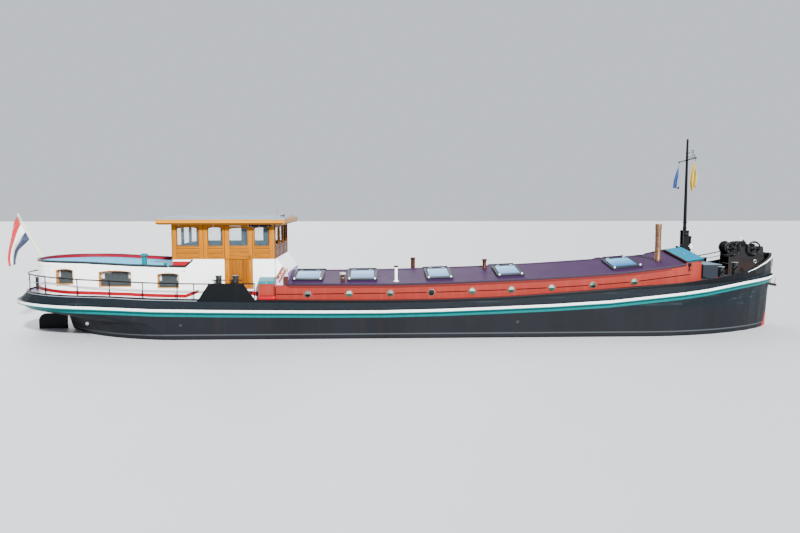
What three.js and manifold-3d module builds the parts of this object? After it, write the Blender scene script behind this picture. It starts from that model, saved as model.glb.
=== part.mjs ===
// A 25 m steel river barge with an aft cabin, a wooden wheelhouse and a roofed hold.
// +X is the bow, +Y is port and +Z is up. The part's origin lies on the flat bottom, amidships.
// Inside the afloat group every height is counted from the waterline. Sizes are millimetres.

import * as THREE from 'three';
import { mergeVertices } from 'three/addons/utils/BufferGeometryUtils.js';
import Module from 'manifold-3d';

const wasm = await Module();
wasm.setup();

// Driving dimensions
const DRAFT = 900;
const SEAT_GAP = 0.3;
const SUNK = 40;
const PLATE = 60;
const SIDES = 16;
const BEARING_SIDES = 24;
const BEARING_GAP = 0.6;
const FAR = 4000;

// Sheer of the hull, columns: x, top edge, deck, white stripe
const SHEER = [
  [-12600, 1390, 1340, 1060],
  [-10760, 1370, 1320, 1025],
  [-9300, 1340, 1295, 985],
  [-7790, 1265, 1215, 910],
  [-3890, 1185, 1135, 850],
  [-240, 1165, 1115, 840],
  [2840, 1240, 1190, 930],
  [5950, 1450, 1395, 1075],
  [7540, 1580, 1515, 1230],
  [9180, 1720, 1610, 1395],
  [10700, 1925, 1700, 1590],
  [12600, 2480, 1950, 1720],
];
const TOP_EDGE = 1;
const DECK = 2;
const STRIPE = 3;

// Hull levels: the reference line, the offset from it and the half beam, then for the stern and
// the bow: end x, length of the taper, power along, power across and half width of the post
const HULL_LEVELS = [
  { line: 'flat', dz: -DRAFT, half: 1950,
    aft: [-10200, 4200, 1.5, 1.0, 60], fore: [11700, 5200, 1.8, 1.25, 50] },
  { line: 'flat', dz: -840, half: 2130,
    aft: [-10220, 4100, 1.5, 1.0, 60], fore: [11900, 5100, 1.8, 1.25, 50] },
  { line: 'flat', dz: -600, half: 2270,
    aft: [-10250, 3900, 1.5, 1.0, 60], fore: [12150, 5000, 1.8, 1.3, 50] },
  { line: 'flat', dz: -150, half: 2290,
    aft: [-10350, 3600, 1.6, 1.1, 60], fore: [12380, 4900, 1.8, 1.35, 50] },
  { line: 'flat', dz: 50, half: 2300,
    aft: [-11000, 3700, 1.8, 1.2, 70], fore: [12440, 4800, 1.8, 1.4, 50] },
  { line: 'stripe', dz: -450, half: 2305,
    aft: [-11120, 3300, 1.9, 1.5, 80], fore: [12480, 4700, 1.8, 1.5, 50] },
  { line: 'stripe', dz: -200, half: 2310,
    aft: [-12330, 3000, 2, 1.9, 90], fore: [12530, 4600, 1.8, 1.55, 50] },
  { line: 'stripe', dz: -60, half: 2310,
    aft: [-12500, 2950, 2, 2, 100], fore: [12540, 4500, 1.8, 1.6, 50] },
  { line: 'stripe', dz: 60, half: 2310,
    aft: [-12500, 2950, 2, 2, 100], fore: [12540, 4500, 1.8, 1.6, 50] },
  { line: 'deck', dz: 0, half: 2290,
    aft: [-12290, 2900, 2, 2, 100], fore: [12560, 4500, 1.8, 1.6, 50] },
];
const STRIPE_LOW = 7;
const DECK_LEVEL = 9;
const END_STEPS = 9;
const MID_STEPS = 10;
const STRAKE_OUT = 90;
const STRAKE_HALF = 52;
const BULWARK = { inset: 6, thick: 45 };

// Bollards: cap around the shank, and the cross pin under it
const BOLLARD = { capOut: 14, capLow: 25, capHigh: 12, pin: 20, pinDrop: 130, pinReach: 110 };
const SIDE_BULWARK = {
  outer: 2281, thick: 38, low: 1100, base: [-6450, -4580], top: [-6050, -5000], height: 1700,
};
const SIDE_BOLLARDS = { y: 2080, x: [-5770, -5260], radius: 90, top: 1930 };
const SIDE_PLATE = { x: [-6000, -5030], half: 80, low: 1080, lift: 24 };
// Bow bollards, columns: x, y, top
const BOW_BOLLARDS = [[10240, 1330, 2080], [10800, 1120, 2200]];
const BOW_FOOT = { shank: 95, radius: 140, low: 1600, lift: 26, tie: 60 };
const STERN_BOLLARD = { x: -12020, y: -240, top: 1730, radius: 65 };

// Stern gear
const STOCK = { x: -11250, radius: 50, bottom: 117 - DRAFT, top: 900, trunkTop: 940 };
const BLADE = { aft: -12140, bottom: 150 - DRAFT, top: 510, half: 20, round: 260, steps: 6 };
const SHOE = { from: -11560, to: -9600, half: 60, top: 110 - DRAFT };
const SHAFT = { z: 470 - DRAFT, radius: 40, fore: -10200, boreAft: -11000, boreFore: -10140 };
const BOSS = { radius: 95, aft: -10560, fore: -9300 };
const SCREW = { x: -10750, radius: 320, blades: 4, thick: 16, width: 210, pitch: 55, sunk: 25, points: 14 };
const HUB = { radius: 85, tail: 50, aft: 150, fore: 90 };

// Aft cabin
const CABIN = {
  half: 1750, aft: -11840, run: 1900, tip: 40, power: 0.8, wide: -8600,
  step: -7370, knee: -6850, rise: -6620, fore: -4110, baseTop: 2420,
};
const RIM_TOP = [[-12000, 2385], [-9930, 2350], [-8830, 2280], [-7250, 2215], [-6620, 2200]];
const RIM_HIGH = 110;
const RIM_THICK = 50;
const ROOF_THICK = 60;
const ROOF_OVER = 10;
// Camber of the aft roof, columns: share of the half beam, lift
const CAMBER = [[0.7, 22], [0.3, 40]];

// Aft cabin windows, columns: x from, x to, z from, z to
const CABIN_WINDOWS = [
  [-10790, -10270, 1660, 2140],
  [-9500, -8510, 1570, 2080],
  [-7720, -7060, 1520, 2000],
];
const CABIN_ARCH = 40;

// Vents on the aft roof, columns: name, x, y, radius, height, cap radius
const AFT_VENTS = [
  ['aft_vent', -8250, -1250, 75, 420, 110],
  ['aft_small_vent', -7560, -1400, 45, 170, 60],
];

// Wooden wheelhouse
const HOUSE = { aft: -7250, fore: -4110, half: 1700, top: 3500, wall: 60, skirtIn: 14, skirtLow: 2080 };
const HOUSE_ROOF = {
  aft: -7660, fore: -3770, half: 2000, low: 3500, edge: 3670, crown: 3735, bend: 0.55, drop: 20,
};
const WINDOW = { bottom: 2835, top: 3400, rise: 35 };
const SIDE_WINDOWS = [[-7100, -6450], [-6150, -5720], [-4720, -4290]];
const END_WINDOWS = [[-1480, -560], [-450, 450], [560, 1480]];
const GLASS = { thick: 6, lap: 30, doorLap: 25, past: 50 };
const DOOR = { aft: -5660, fore: -4780, bottom: 1490, top: 3440, gap: 8, thick: 45, face: 1697, knuckle: 150 };
const DOOR_HINGES = [2560, 3240];
const DOOR_WINDOW = { x: [-5500, -4950], drop: 20 };
const FLOOR = { aft: -6560, fore: -4180, bottom: 1400, top: 1460 };
const CONSOLE = { x: [-4560, -4190], y: [-620, 620], top: 2380, front: 2480 };
const HELM = { x: -4700, z: 2270, radius: 400, ring: 22, spokes: 8, spoke: 15, grip: 90, shaft: 25, depth: 90 };
const HELM_HUB = { radius: 60, aft: 50, fore: 45 };

// Hold, columns: x, eave, ridge
const HOLD = [
  [-4100, 1640, 1900],
  [-2330, 1635, 1915],
  [-140, 1635, 1945],
  [3240, 1745, 2060],
  [6600, 1940, 2260],
  [8220, 2125, 2405],
  [9480, 2320, 2590],
];
const EAVE = 1;
const RIDGE = 2;
const ROOF_STEPS = 14;
const COAMING = { half: 1800, aft: -4080, fore: 9460, wall: 50, round: 260, corner: 5, over: 200 };
const HOLD_ROOF = { half: 1830, aft: -3740, fore: 8870, thick: 45 };
// The sliding lid over the hold's fore end: it slides along its own straight slope
const LID = { aft: 8900, fore: 9440, half: 1800, lift: 20, thick: 60, slope: 0.1478 };
const APRON = { top: -4106, foot: -3746, knee: 1960, low: 1500, starboard: -1380, wall: 50, skin: 30, crest: 90 };
const STEPS = { x: [-4070, -3742], y: [-1746, -1384], low: 1540, treads: [1790, 1930, 2075], board: 28, nose: 12 };

// Roof windows, columns: x from, x to, on the near slope and the far slope alike
const SKYLIGHTS = [[-3600, -2660], [-1870, -940], [650, 1480], [2910, 3750], [6620, 7570]];
const SKYLIGHT = { low: 1500, high: 330, lift: 55, sunk: 25 };

// Vents on the hold roof, columns: name, x, y, radius, height over the roof, cap radius
const ROOF_VENTS = [
  ['mushroom_vent', -2015, -1460, 60, 290, 105],
  ['vent_pipe', -330, -1500, 45, 505, 75],
  ['far_vent_pipe', 315, 420, 45, 430, 65],
  ['copper_vent', 2660, -330, 60, 330, 95],
];
const FLUE = { x: 8276, y: -960, radius: 95, low: 2150, collar: 2330, top: 3470, cap: 104, head: 170, sides: 20 };

// Mast
const MAST = { x: 9570, pivot: 3080, top: 6300, foot: 2520, radius: 62, tip: 34, pin: 22, pinOut: 20 };
const TABERNACLE = { half: 150, inner: 95, deep: 90, low: 1500, top: 3230, web: 30 };
const YARD = { port: [9637, 780, 5576], starboard: [9514, -780, 5626], radius: 22, sides: 10 };
const HALYARD = 7;
// Pennants under the yard's ends: the outline's x is counted from the yard's end
const PENNANT_HALF = 14;
const PENNANTS = [
  { name: 'pennant_port', end: 'port', colour: 'flagBlue', outline: [
    [-14, 5440], [-105, 5100], [-195, 4670], [-60, 4655], [-20, 5060], [14, 5440]] },
  { name: 'pennant_starboard', end: 'starboard', colour: 'flagYellow', outline: [
    [-14, 5520], [-110, 5230], [-168, 4800], [-108, 4513],
    [-12, 4680], [94, 4970], [32, 5290], [14, 5520]] },
];

// Windlass, anchor and the low locker between the mast and the bollards
const WINDLASS = {
  x: 11100, second: 11790, axis: 2640, wheel: 240, ring: 22, half: 330, shaft: 30, shaftOut: 120,
};
const FRAME = {
  aft: 130, fore: 470, topAft: 100, topFore: 360, low: 1700, cheek: 30, base: 60, aftLift: 60, foreLift: 40,
};
const DRUMS = { main: 150, second: 90, short: 60, spokes: 6, secondSpokes: 4, spoke: 14, hub: 55, hubHalf: 35 };
const ANCHOR = { shank: 35, top: 1930, bottom: 1340, crown: 45, reach: 260, lift: 30, tip: 12, fluke: 330 };
const LOCKER = { x: [9980, 10620], y: [-600, 600], low: 1500, top: 2090 };

// Rails, columns: x along the deck edge, height of the rail
const RAIL = [[-12300, 1930], [-11110, 1900], [-9310, 1820], [-7790, 1740], [-6050, 1700], [-4650, 1700]];
const RAIL_POSTS = [-11900, -11110, -10000, -9020, -8030, -7000, -6500];
const RAIL_SHAPE = { inset: 70, radius: 21, post: 17, steps: 44, aftY: 8, endIn: 30, endLow: 1080 };
const BOW_RAIL = {
  from: 9700, to: 12050, height: 290, mid: 140, radius: 18, thin: 12, post: 15, sunk: 30, steps: 12,
};
const BOW_POSTS = [9760, 10600, 11470, 11990];
const POST_SIDES = 8;

// Flagstaff in its socket on the cabin's aft wall, with the ensign hanging in folds
const STAFF = { foot: [-11885, 130, 2100], top: [-12730, 130, 3765], radius: 20, taper: 0.7, sides: 10 };
const SOCKET = { x: [-11930, -11800], y: [80, 180], z: [2030, 2165] };
const ENSIGN = { half: 22, hoist: [3700, 2930], free: [
  [-12922, 3431], [-13041, 2938], [-13167, 2310], [-13114, 2044], [-12893, 2143], [-12830, 2600]] };

// Deck box: its rim and lid rise towards the middle of the barge
const BOX = {
  x: [-4550, -4105], y: [-2150, -1770], low: 1050, floor: 1300, top: 1692, lid: 1757, rise: 98,
  wall: 25, over: 15, hinge: 5,
};

const COLOURS = {
  hull: [0x2d323a, 0.55, 0.4], white: [0xeeeeee, 0.45, 0], red: [0xc35046, 0.5, 0], plum: [0x6e5a73, 0.5, 0],
  teal: [0x1e96a0, 0.45, 0], turquoise: [0x6ec8e1, 0.5, 0], wood: [0xe18c14, 0.35, 0], fascia: [0xdca03c, 0.35, 0],
  glass: [0x9fc4cc, 0.05, 0], copper: [0xb8703c, 0.3, 1], black: [0x1b1c1f, 0.5, 0.3], grey: [0x8f9aa5, 0.5, 0],
  flagRed: [0xa8242a, 0.8, 0], flagBlue: [0x2b4a8a, 0.8, 0], flagYellow: [0xe0b020, 0.8, 0],
  cream: [0xe8ddb8, 0.5, 0], bronze: [0x9c7a3c, 0.35, 1],
};

// Smooth height from a table of rows, by cubic pieces through the rows
function along(table, column, x) {
  const last = table.length - 1;
  if (x <= table[0][0]) return table[0][column];
  if (x >= table[last][0]) return table[last][column];
  const i = table.findIndex((row) => row[0] > x) - 1;
  const slope = (k) => {
    const a = table[Math.max(k - 1, 0)];
    const b = table[Math.min(k + 1, last)];
    return (b[column] - a[column]) / (b[0] - a[0]);
  };
  const [x0, x1] = [table[i][0], table[i + 1][0]];
  const [z0, z1] = [table[i][column], table[i + 1][column]];
  const w = x1 - x0;
  const t = (x - x0) / w;
  const ease = t * t * (3 - 2 * t);
  return z0 + (z1 - z0) * ease + w * t * (1 - t) * ((1 - t) * slope(i) - t * slope(i + 1));
}

const sheer = (column, x) => along(SHEER, column, x);
const rimTop = (x) => along(RIM_TOP, 1, x);
const ordered = (a, b) => [Math.min(a, b), Math.max(a, b)];

// y of a line of points at one x
function yOn(line, x) {
  const i = line.findIndex((p) => p[0] > x);
  const t = (x - line[i - 1][0]) / (line[i][0] - line[i - 1][0]);
  return line[i - 1][1] + t * (line[i][1] - line[i - 1][1]);
}

// Solids
function toSolid(geometry) {
  const bare = geometry.clone();
  bare.deleteAttribute('normal');
  bare.deleteAttribute('uv');
  const merged = mergeVertices(bare, 0.001);
  const vertProperties = new Float32Array(merged.attributes.position.array);
  const triVerts = new Uint32Array(merged.index.array);
  return new wasm.Manifold(new wasm.Mesh({ numProp: 3, vertProperties, triVerts }));
}

function toGeometry(solid) {
  const { vertProperties, triVerts } = solid.getMesh();
  const geometry = new THREE.BufferGeometry();
  geometry.setAttribute('position', new THREE.BufferAttribute(new Float32Array(vertProperties), 3));
  geometry.setIndex(new THREE.BufferAttribute(new Uint32Array(triVerts), 1));
  geometry.computeVertexNormals();
  return geometry;
}

const join = (...solids) => solids.reduce((sum, next) => sum.add(next));
const mirrored = (solid) => solid.add(solid.mirror([0, 1, 0]));

// The largest of the bodies that a cut leaves
const main = (solid) => solid.decompose().reduce((best, next) => (next.volume() > best.volume() ? next : best));
const seat = (solid, carrier) => main(solid.subtract(carrier.translate([0, 0, SEAT_GAP])));
const under = (solid, cover) => main(solid.subtract(cover.translate([0, 0, -SEAT_GAP])));

function facesToSolid(points, faces) {
  const geometry = new THREE.BufferGeometry();
  geometry.setAttribute('position', new THREE.Float32BufferAttribute(points.flat(), 3));
  geometry.setIndex(faces.flat());
  return toSolid(geometry);
}

const quad = (a, b, c, d) => [a, b, c, a, c, d];

// Rings around the boat, each level above the last: capped by strips across, or closed into a wall
function ringsToSolid(rings, capped) {
  const n = rings[0].length;
  const faces = [];
  const levels = capped ? rings.length - 1 : rings.length;
  for (let k = 0; k < levels; k += 1) {
    const low = k * n;
    const high = ((k + 1) % rings.length) * n;
    for (let i = 0; i < n; i += 1) {
      const j = (i + 1) % n;
      faces.push(quad(low + i, low + j, high + j, high + i));
    }
  }
  if (capped) {
    const top = (rings.length - 1) * n;
    for (let i = 0; i < n / 2 - 1; i += 1) {
      const [s0, s1, p1, p0] = [i, i + 1, n - 2 - i, n - 1 - i];
      faces.push(quad(s0, p0, p1, s1));
      faces.push(quad(top + s0, top + s1, top + p1, top + p0));
    }
  }
  return facesToSolid(rings.flat(), faces);
}

// Sections of equal count along X, each running anticlockwise as seen from the bow
function sectionsToSolid(sections) {
  const n = sections[0].length;
  const faces = [];
  for (let k = 0; k < sections.length - 1; k += 1) {
    for (let i = 0; i < n; i += 1) {
      const j = (i + 1) % n;
      faces.push(quad(k * n + i, k * n + j, (k + 1) * n + j, (k + 1) * n + i));
    }
  }
  const flat = (section) => section.map(([, y, z]) => new THREE.Vector2(y, z));
  const last = (sections.length - 1) * n;
  for (const [a, b, c] of THREE.ShapeUtils.triangulateShape(flat(sections[0]), [])) {
    faces.push([a, c, b]);
  }
  for (const [a, b, c] of THREE.ShapeUtils.triangulateShape(flat(sections[sections.length - 1]), [])) {
    faces.push([last + a, last + b, last + c]);
  }
  return facesToSolid(sections.flat(), faces);
}

function box([x0, x1], [y0, y1], [z0, z1]) {
  const geometry = new THREE.BoxGeometry(x1 - x0, y1 - y0, z1 - z0);
  geometry.translate((x0 + x1) / 2, (y0 + y1) / 2, (z0 + z1) / 2);
  return toSolid(geometry);
}

// A round bar or cone between two points
function bar(from, to, radius, endRadius = radius, sides = SIDES) {
  const a = new THREE.Vector3(...from);
  const b = new THREE.Vector3(...to);
  const geometry = new THREE.CylinderGeometry(endRadius, radius, a.distanceTo(b), sides);
  const turn = new THREE.Quaternion().setFromUnitVectors(
    new THREE.Vector3(0, 1, 0), b.clone().sub(a).normalize());
  geometry.applyQuaternion(turn);
  geometry.translate((a.x + b.x) / 2, (a.y + b.y) / 2, (a.z + b.z) / 2);
  return toSolid(geometry);
}

const post = (x, y, low, top, radius) => bar([x, y, low], [x, y, top], radius, radius, POST_SIDES);

// A shaft, and the hole that it runs in
const shaftBar = (from, to, radius) => bar(from, to, radius, radius, BEARING_SIDES);
const bearing = (from, to, radius) => shaftBar(from, to, radius + BEARING_GAP);

function shapeOf(points) {
  return new THREE.Shape(points.map(([u, v]) => new THREE.Vector2(u, v)));
}

// An outline in x and z carried from y0 to y1
function prismY(outline, y0, y1) {
  const geometry = new THREE.ExtrudeGeometry(shapeOf(outline), { depth: y1 - y0, bevelEnabled: false });
  geometry.rotateX(Math.PI / 2);
  geometry.translate(0, y1, 0);
  return toSolid(geometry);
}

// An outline in y and z carried from x0 to x1
function prismX(outline, x0, x1) {
  const geometry = new THREE.ExtrudeGeometry(shapeOf(outline), { depth: x1 - x0, bevelEnabled: false });
  const turn = new THREE.Matrix4().makeBasis(
    new THREE.Vector3(0, 1, 0), new THREE.Vector3(0, 0, 1), new THREE.Vector3(1, 0, 0));
  geometry.applyMatrix4(turn);
  geometry.translate(x0, 0, 0);
  return toSolid(geometry);
}

// A tube of round section along a smooth line
function tube(points, radius, steps, sides = 8) {
  const path = new THREE.CatmullRomCurve3(points.map((p) => new THREE.Vector3(...p)));
  const section = new THREE.Shape();
  for (let i = 0; i < sides; i += 1) {
    const a = (i * 2 * Math.PI) / sides;
    const [u, v] = [radius * Math.cos(a), radius * Math.sin(a)];
    if (i === 0) section.moveTo(u, v);
    else section.lineTo(u, v);
  }
  return toSolid(new THREE.ExtrudeGeometry(section, { steps, extrudePath: path, bevelEnabled: false }));
}

// Window opening with a slightly arched head, as an outline in two directions
function archOutline(u0, u1, v0, v1, rise, steps = 6) {
  const points = [[u0, v0], [u1, v0]];
  for (let i = 0; i <= steps; i += 1) {
    const t = i / steps;
    points.push([u1 + (u0 - u1) * t, v1 - rise + 4 * rise * t * (1 - t)]);
  }
  return points;
}

// Half outline from the stern to the bow: tapered ends and straight middle
function halfOutline({ half, aft, fore }) {
  const [xa, la, pa, qa, sa] = aft;
  const [xf, lf, pf, qf, sf] = fore;
  const points = [];
  for (let i = 0; i <= END_STEPS; i += 1) {
    const a = (Math.PI / 2) * (1 - i / END_STEPS);
    points.push([xa + la * (1 - Math.sin(a) ** (2 / pa)), sa + (half - sa) * Math.cos(a) ** (2 / qa)]);
  }
  const [m0, m1] = [xa + la, xf - lf];
  for (let i = 1; i < MID_STEPS; i += 1) {
    points.push([m0 + ((m1 - m0) * i) / MID_STEPS, half]);
  }
  for (let i = 0; i <= END_STEPS; i += 1) {
    const a = (Math.PI / 2) * (i / END_STEPS);
    points.push([xf - lf * (1 - Math.sin(a) ** (2 / pf)), sf + (half - sf) * Math.cos(a) ** (2 / qf)]);
  }
  return points;
}

const fullRing = (halfLine) => [
  ...halfLine.map(([x, y]) => [x, -y]),
  ...halfLine.slice().reverse(),
];

// Moves a closed outline inwards, or outwards where the distance is negative
function inset(ring, distance) {
  const n = ring.length;
  return ring.map(([x, y], i) => {
    const [px, py] = ring[(i + n - 1) % n];
    const [nx, ny] = ring[(i + 1) % n];
    const a = new THREE.Vector2(x - px, y - py).normalize();
    const b = new THREE.Vector2(nx - x, ny - y).normalize();
    const normal = new THREE.Vector2(-a.y - b.y, a.x + b.x).normalize();
    const reach = distance / Math.max(0.5, normal.x * -a.y + normal.y * a.x);
    return [x + normal.x * reach, y + normal.y * reach];
  });
}

const raise = (ring, height) => ring.map(([x, y]) => [x, y, height(x)]);

function stations(from, to, count) {
  return Array.from({ length: count + 1 }, (_, i) => from + ((to - from) * i) / count);
}

// Materials and nodes
const materials = Object.fromEntries(Object.entries(COLOURS).map(([name, [color, roughness, metalness]]) => [
  name, new THREE.MeshStandardMaterial({ color, roughness, metalness, name }),
]));

function node(group, name, solid, colour) {
  const mesh = new THREE.Mesh(toGeometry(solid), materials[colour]);
  mesh.name = name;
  group.add(mesh);
  return solid;
}

const afloat = new THREE.Group();
afloat.position.z = DRAFT;

// Hull
function levelHeight({ line, dz }) {
  if (line === 'flat') return () => dz;
  const column = line === 'stripe' ? STRIPE : DECK;
  return (x) => sheer(column, x) + dz;
}

function hullSolid() {
  const rings = HULL_LEVELS.map((level) => raise(fullRing(halfOutline(level)), levelHeight(level)));
  const shoe = box([SHOE.from, SHOE.to], [-SHOE.half, SHOE.half], [-DRAFT, SHOE.top]);
  const boss = bar([BOSS.aft, 0, SHAFT.z], [BOSS.fore, 0, SHAFT.z], BOSS.radius);
  const bore = bearing([SHAFT.boreAft, 0, SHAFT.z], [SHAFT.boreFore, 0, SHAFT.z], SHAFT.radius);
  const trunk = bearing([STOCK.x, 0, 0], [STOCK.x, 0, STOCK.trunkTop], STOCK.radius);
  return join(ringsToSolid(rings, true), shoe, boss).subtract(bore).subtract(trunk);
}

const deckRing = fullRing(halfOutline(HULL_LEVELS[DECK_LEVEL]));
const stripeRing = fullRing(halfOutline(HULL_LEVELS[STRIPE_LOW]));

function strakeSolid() {
  const [inner, outer] = [inset(stripeRing, -SEAT_GAP), inset(stripeRing, -STRAKE_OUT)];
  const at = (line, offset) => line.map(([x, y], i) => [x, y, sheer(STRIPE, stripeRing[i][0]) + offset]);
  return ringsToSolid([
    at(outer, -STRAKE_HALF), at(outer, STRAKE_HALF), at(inner, STRAKE_HALF), at(inner, -STRAKE_HALF)], false);
}

function bulwarkSolid(hull) {
  const outer = inset(deckRing, BULWARK.inset);
  const inner = inset(deckRing, BULWARK.inset + BULWARK.thick);
  const low = (x) => sheer(DECK, x) - SUNK;
  const high = (x) => sheer(TOP_EDGE, x);
  const rings = [raise(outer, low), raise(outer, high), raise(inner, high), raise(inner, low)];
  return seat(ringsToSolid(rings, false), hull);
}

const hullGroup = new THREE.Group();
afloat.add(hullGroup);
const hull = node(hullGroup, 'hull', hullSolid(), 'hull');
node(hullGroup, 'rubbing_strake', strakeSolid(), 'white');
const bulwark = node(hullGroup, 'bulwark', bulwarkSolid(hull), 'hull');

// Raised side bulwarks, and the bollards
function bollard(x, y, top, radius, pinAlong) {
  const { capOut, capLow, capHigh, pin, pinDrop, pinReach } = BOLLARD;
  const shank = bar([x, y, sheer(DECK, x) - SUNK], [x, y, top], radius);
  const cap = bar([x, y, top - capLow], [x, y, top + capHigh], radius + capOut);
  const [dx, dy] = pinAlong ? [radius + pinReach, 0] : [0, radius + pinReach];
  const cross = bar([x - dx, y - dy, top - pinDrop], [x + dx, y + dy, top - pinDrop], pin, pin, POST_SIDES);
  return join(shank, cap, cross);
}

function sideBulwark(side) {
  const { outer, thick, low, base, top, height } = SIDE_BULWARK;
  const outline = [[base[0], low], [base[1], low], [top[1], height], [top[0], height]];
  return seat(prismY(outline, ...ordered(side * outer, side * (outer - thick))), bulwark);
}

function sideBollards(side) {
  const { y, x, radius, top } = SIDE_BOLLARDS;
  const ys = ordered(side * y - SIDE_PLATE.half, side * y + SIDE_PLATE.half);
  const plate = box(SIDE_PLATE.x, ys, [SIDE_PLATE.low, sheer(DECK, x[0]) + SIDE_PLATE.lift]);
  const posts = x.map((at) => bollard(at, side * y, top, radius, true));
  return seat(join(plate, ...posts), hull);
}

function bowBollards(side) {
  const { shank, radius, low, lift, tie } = BOW_FOOT;
  const posts = BOW_BOLLARDS.map(([x, y, top]) => bollard(x, side * y, top, shank, false));
  const feet = BOW_BOLLARDS.map(([x, y]) => bar([x, side * y, low], [x, side * y, sheer(DECK, x) + lift], radius));
  const between = tube(BOW_BOLLARDS.map(([x, y]) => [x, side * y, sheer(DECK, x) + lift]), tie, 1);
  return seat(join(between, ...feet, ...posts), hull);
}

for (const [word, side] of [['starboard', -1], ['port', 1]]) {
  node(hullGroup, `side_bulwark_${word}`, sideBulwark(side), 'black');
  node(hullGroup, `side_bollards_${word}`, sideBollards(side), 'black');
  node(hullGroup, `bow_bollards_${word}`, bowBollards(side), 'black');
}

function sternBollard() {
  const { x, y, top, radius } = STERN_BOLLARD;
  return seat(bollard(x, y, top, radius, false), hull);
}
node(hullGroup, 'stern_bollard', sternBollard(), 'black');

// Rudder and propeller
function rudderSolid() {
  const { aft, bottom, top, half, round, steps } = BLADE;
  const outline = [[aft, bottom], [STOCK.x, bottom], [STOCK.x, top]];
  for (let i = 0; i <= steps; i += 1) {
    const a = (Math.PI / 2) * (i / steps);
    outline.push([aft + round - round * Math.sin(a), top - round + round * Math.cos(a)]);
  }
  const stock = shaftBar([STOCK.x, 0, STOCK.bottom], [STOCK.x, 0, STOCK.top], STOCK.radius);
  return join(stock, prismY(outline, -half, half));
}

function screwBlade(angle) {
  const { x, radius, thick, width, pitch, sunk, points } = SCREW;
  const [middle, reach] = [(HUB.radius + radius) / 2 - sunk, (radius - HUB.radius) / 2 + sunk];
  const outline = [];
  for (let i = 0; i < points; i += 1) {
    const a = (i * 2 * Math.PI) / points;
    outline.push([(width / 2) * Math.sin(a), middle + reach * Math.cos(a)]);
  }
  const geometry = new THREE.ExtrudeGeometry(shapeOf(outline), { depth: thick, bevelEnabled: false });
  geometry.translate(0, 0, -thick / 2);
  geometry.rotateY(THREE.MathUtils.degToRad(pitch));
  geometry.rotateX(Math.PI / 2);
  geometry.rotateX(angle);
  geometry.translate(x, 0, SHAFT.z);
  return toSolid(geometry);
}

function propellerSolid() {
  const { x, blades } = SCREW;
  const hub = bar([x - HUB.aft, 0, SHAFT.z], [x + HUB.fore, 0, SHAFT.z], HUB.tail, HUB.radius);
  const shaft = shaftBar([x, 0, SHAFT.z], [SHAFT.fore, 0, SHAFT.z], SHAFT.radius);
  const fins = Array.from({ length: blades }, (_, i) => screwBlade((i * 2 * Math.PI) / blades));
  return join(hub, shaft, ...fins);
}

const sternGear = new THREE.Group();
afloat.add(sternGear);
node(sternGear, 'rudder', rudderSolid(), 'hull');
node(sternGear, 'propeller', propellerSolid(), 'bronze');

// Aft cabin: a plan with a rounded stern end, and straight sides through the stops
function cabinPlan({ aft, run, half, tip, power }, stops) {
  const line = [];
  for (let i = 0; i <= END_STEPS; i += 1) {
    const a = (Math.PI / 2) * (1 - i / END_STEPS);
    line.push([aft + run * (1 - Math.sin(a) ** power), tip + (half - tip) * Math.cos(a) ** power]);
  }
  for (const x of stops) line.push([x, half]);
  return fullRing(line);
}

// The walls end under the roof, then carry on at the rim's height and rise to the wheelhouse's sill
function cabinTop(x) {
  if (x >= CABIN.rise) return CABIN.baseTop;
  if (x >= CABIN.step) return rimTop(x);
  return rimTop(x) - RIM_HIGH - ROOF_THICK;
}

function cabinSolid() {
  const { half, wide, step, knee, rise, fore } = CABIN;
  const ring = cabinPlan(CABIN, [wide, step - 0.5, step, knee, rise, DOOR.aft, DOOR.fore, fore]);
  const inner = inset(ring, PLATE);
  const low = (x) => sheer(DECK, x) - SUNK;
  const at = (line, height) => line.map(([x, y], i) => [x, y, height(ring[i][0])]);
  const shell = ringsToSolid([at(ring, low), at(ring, cabinTop), at(inner, cabinTop), at(inner, low)], false);
  const side = [-half - PLATE, -half + 3 * PLATE];
  const windows = CABIN_WINDOWS.map(([x0, x1, z0, z1]) =>
    prismY(archOutline(x0, x1, z0, z1, CABIN_ARCH), ...side));
  const door = box([DOOR.aft, DOOR.fore], side, [DOOR.bottom - DOOR.gap, FAR]);
  return seat(shell, hull).subtract(mirrored(join(...windows, door)));
}

const cabinGroup = new THREE.Group();
afloat.add(cabinGroup);
const cabin = node(cabinGroup, 'cabin_walls', cabinSolid(), 'white');

const roofRing = cabinPlan(
  { ...CABIN, aft: CABIN.aft - 2 * ROOF_OVER, half: CABIN.half + ROOF_OVER }, [CABIN.wide, HOUSE.aft - 0.5]);

function aftRoofSolid() {
  const edge = (x) => rimTop(x) - RIM_HIGH;
  const squeeze = ([share, lift]) => roofRing.map(([x, y]) => [x, y * share, edge(x) + lift]);
  const rings = [raise(roofRing, (x) => edge(x) - ROOF_THICK), squeeze([1, 0]), ...CAMBER.map(squeeze)];
  const beside = box([CABIN.step - 1, 0], [CABIN.half - PLATE - SEAT_GAP, FAR], [0, FAR]);
  return seat(ringsToSolid(rings, true).subtract(mirrored(beside)), cabin);
}

const aftRoof = node(cabinGroup, 'aft_roof', aftRoofSolid(), 'turquoise');

function rimSolid() {
  const inner = inset(roofRing, RIM_THICK);
  const low = (x) => rimTop(x) - RIM_HIGH - ROOF_THICK / 2;
  const rings = [raise(roofRing, low), raise(roofRing, rimTop), raise(inner, rimTop), raise(inner, low)];
  const cut = box([CABIN.step - 1, 0], [-FAR, FAR], [0, FAR]);
  return seat(ringsToSolid(rings, false).subtract(cut), aftRoof);
}

node(cabinGroup, 'roof_rim', rimSolid(), 'red');

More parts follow.
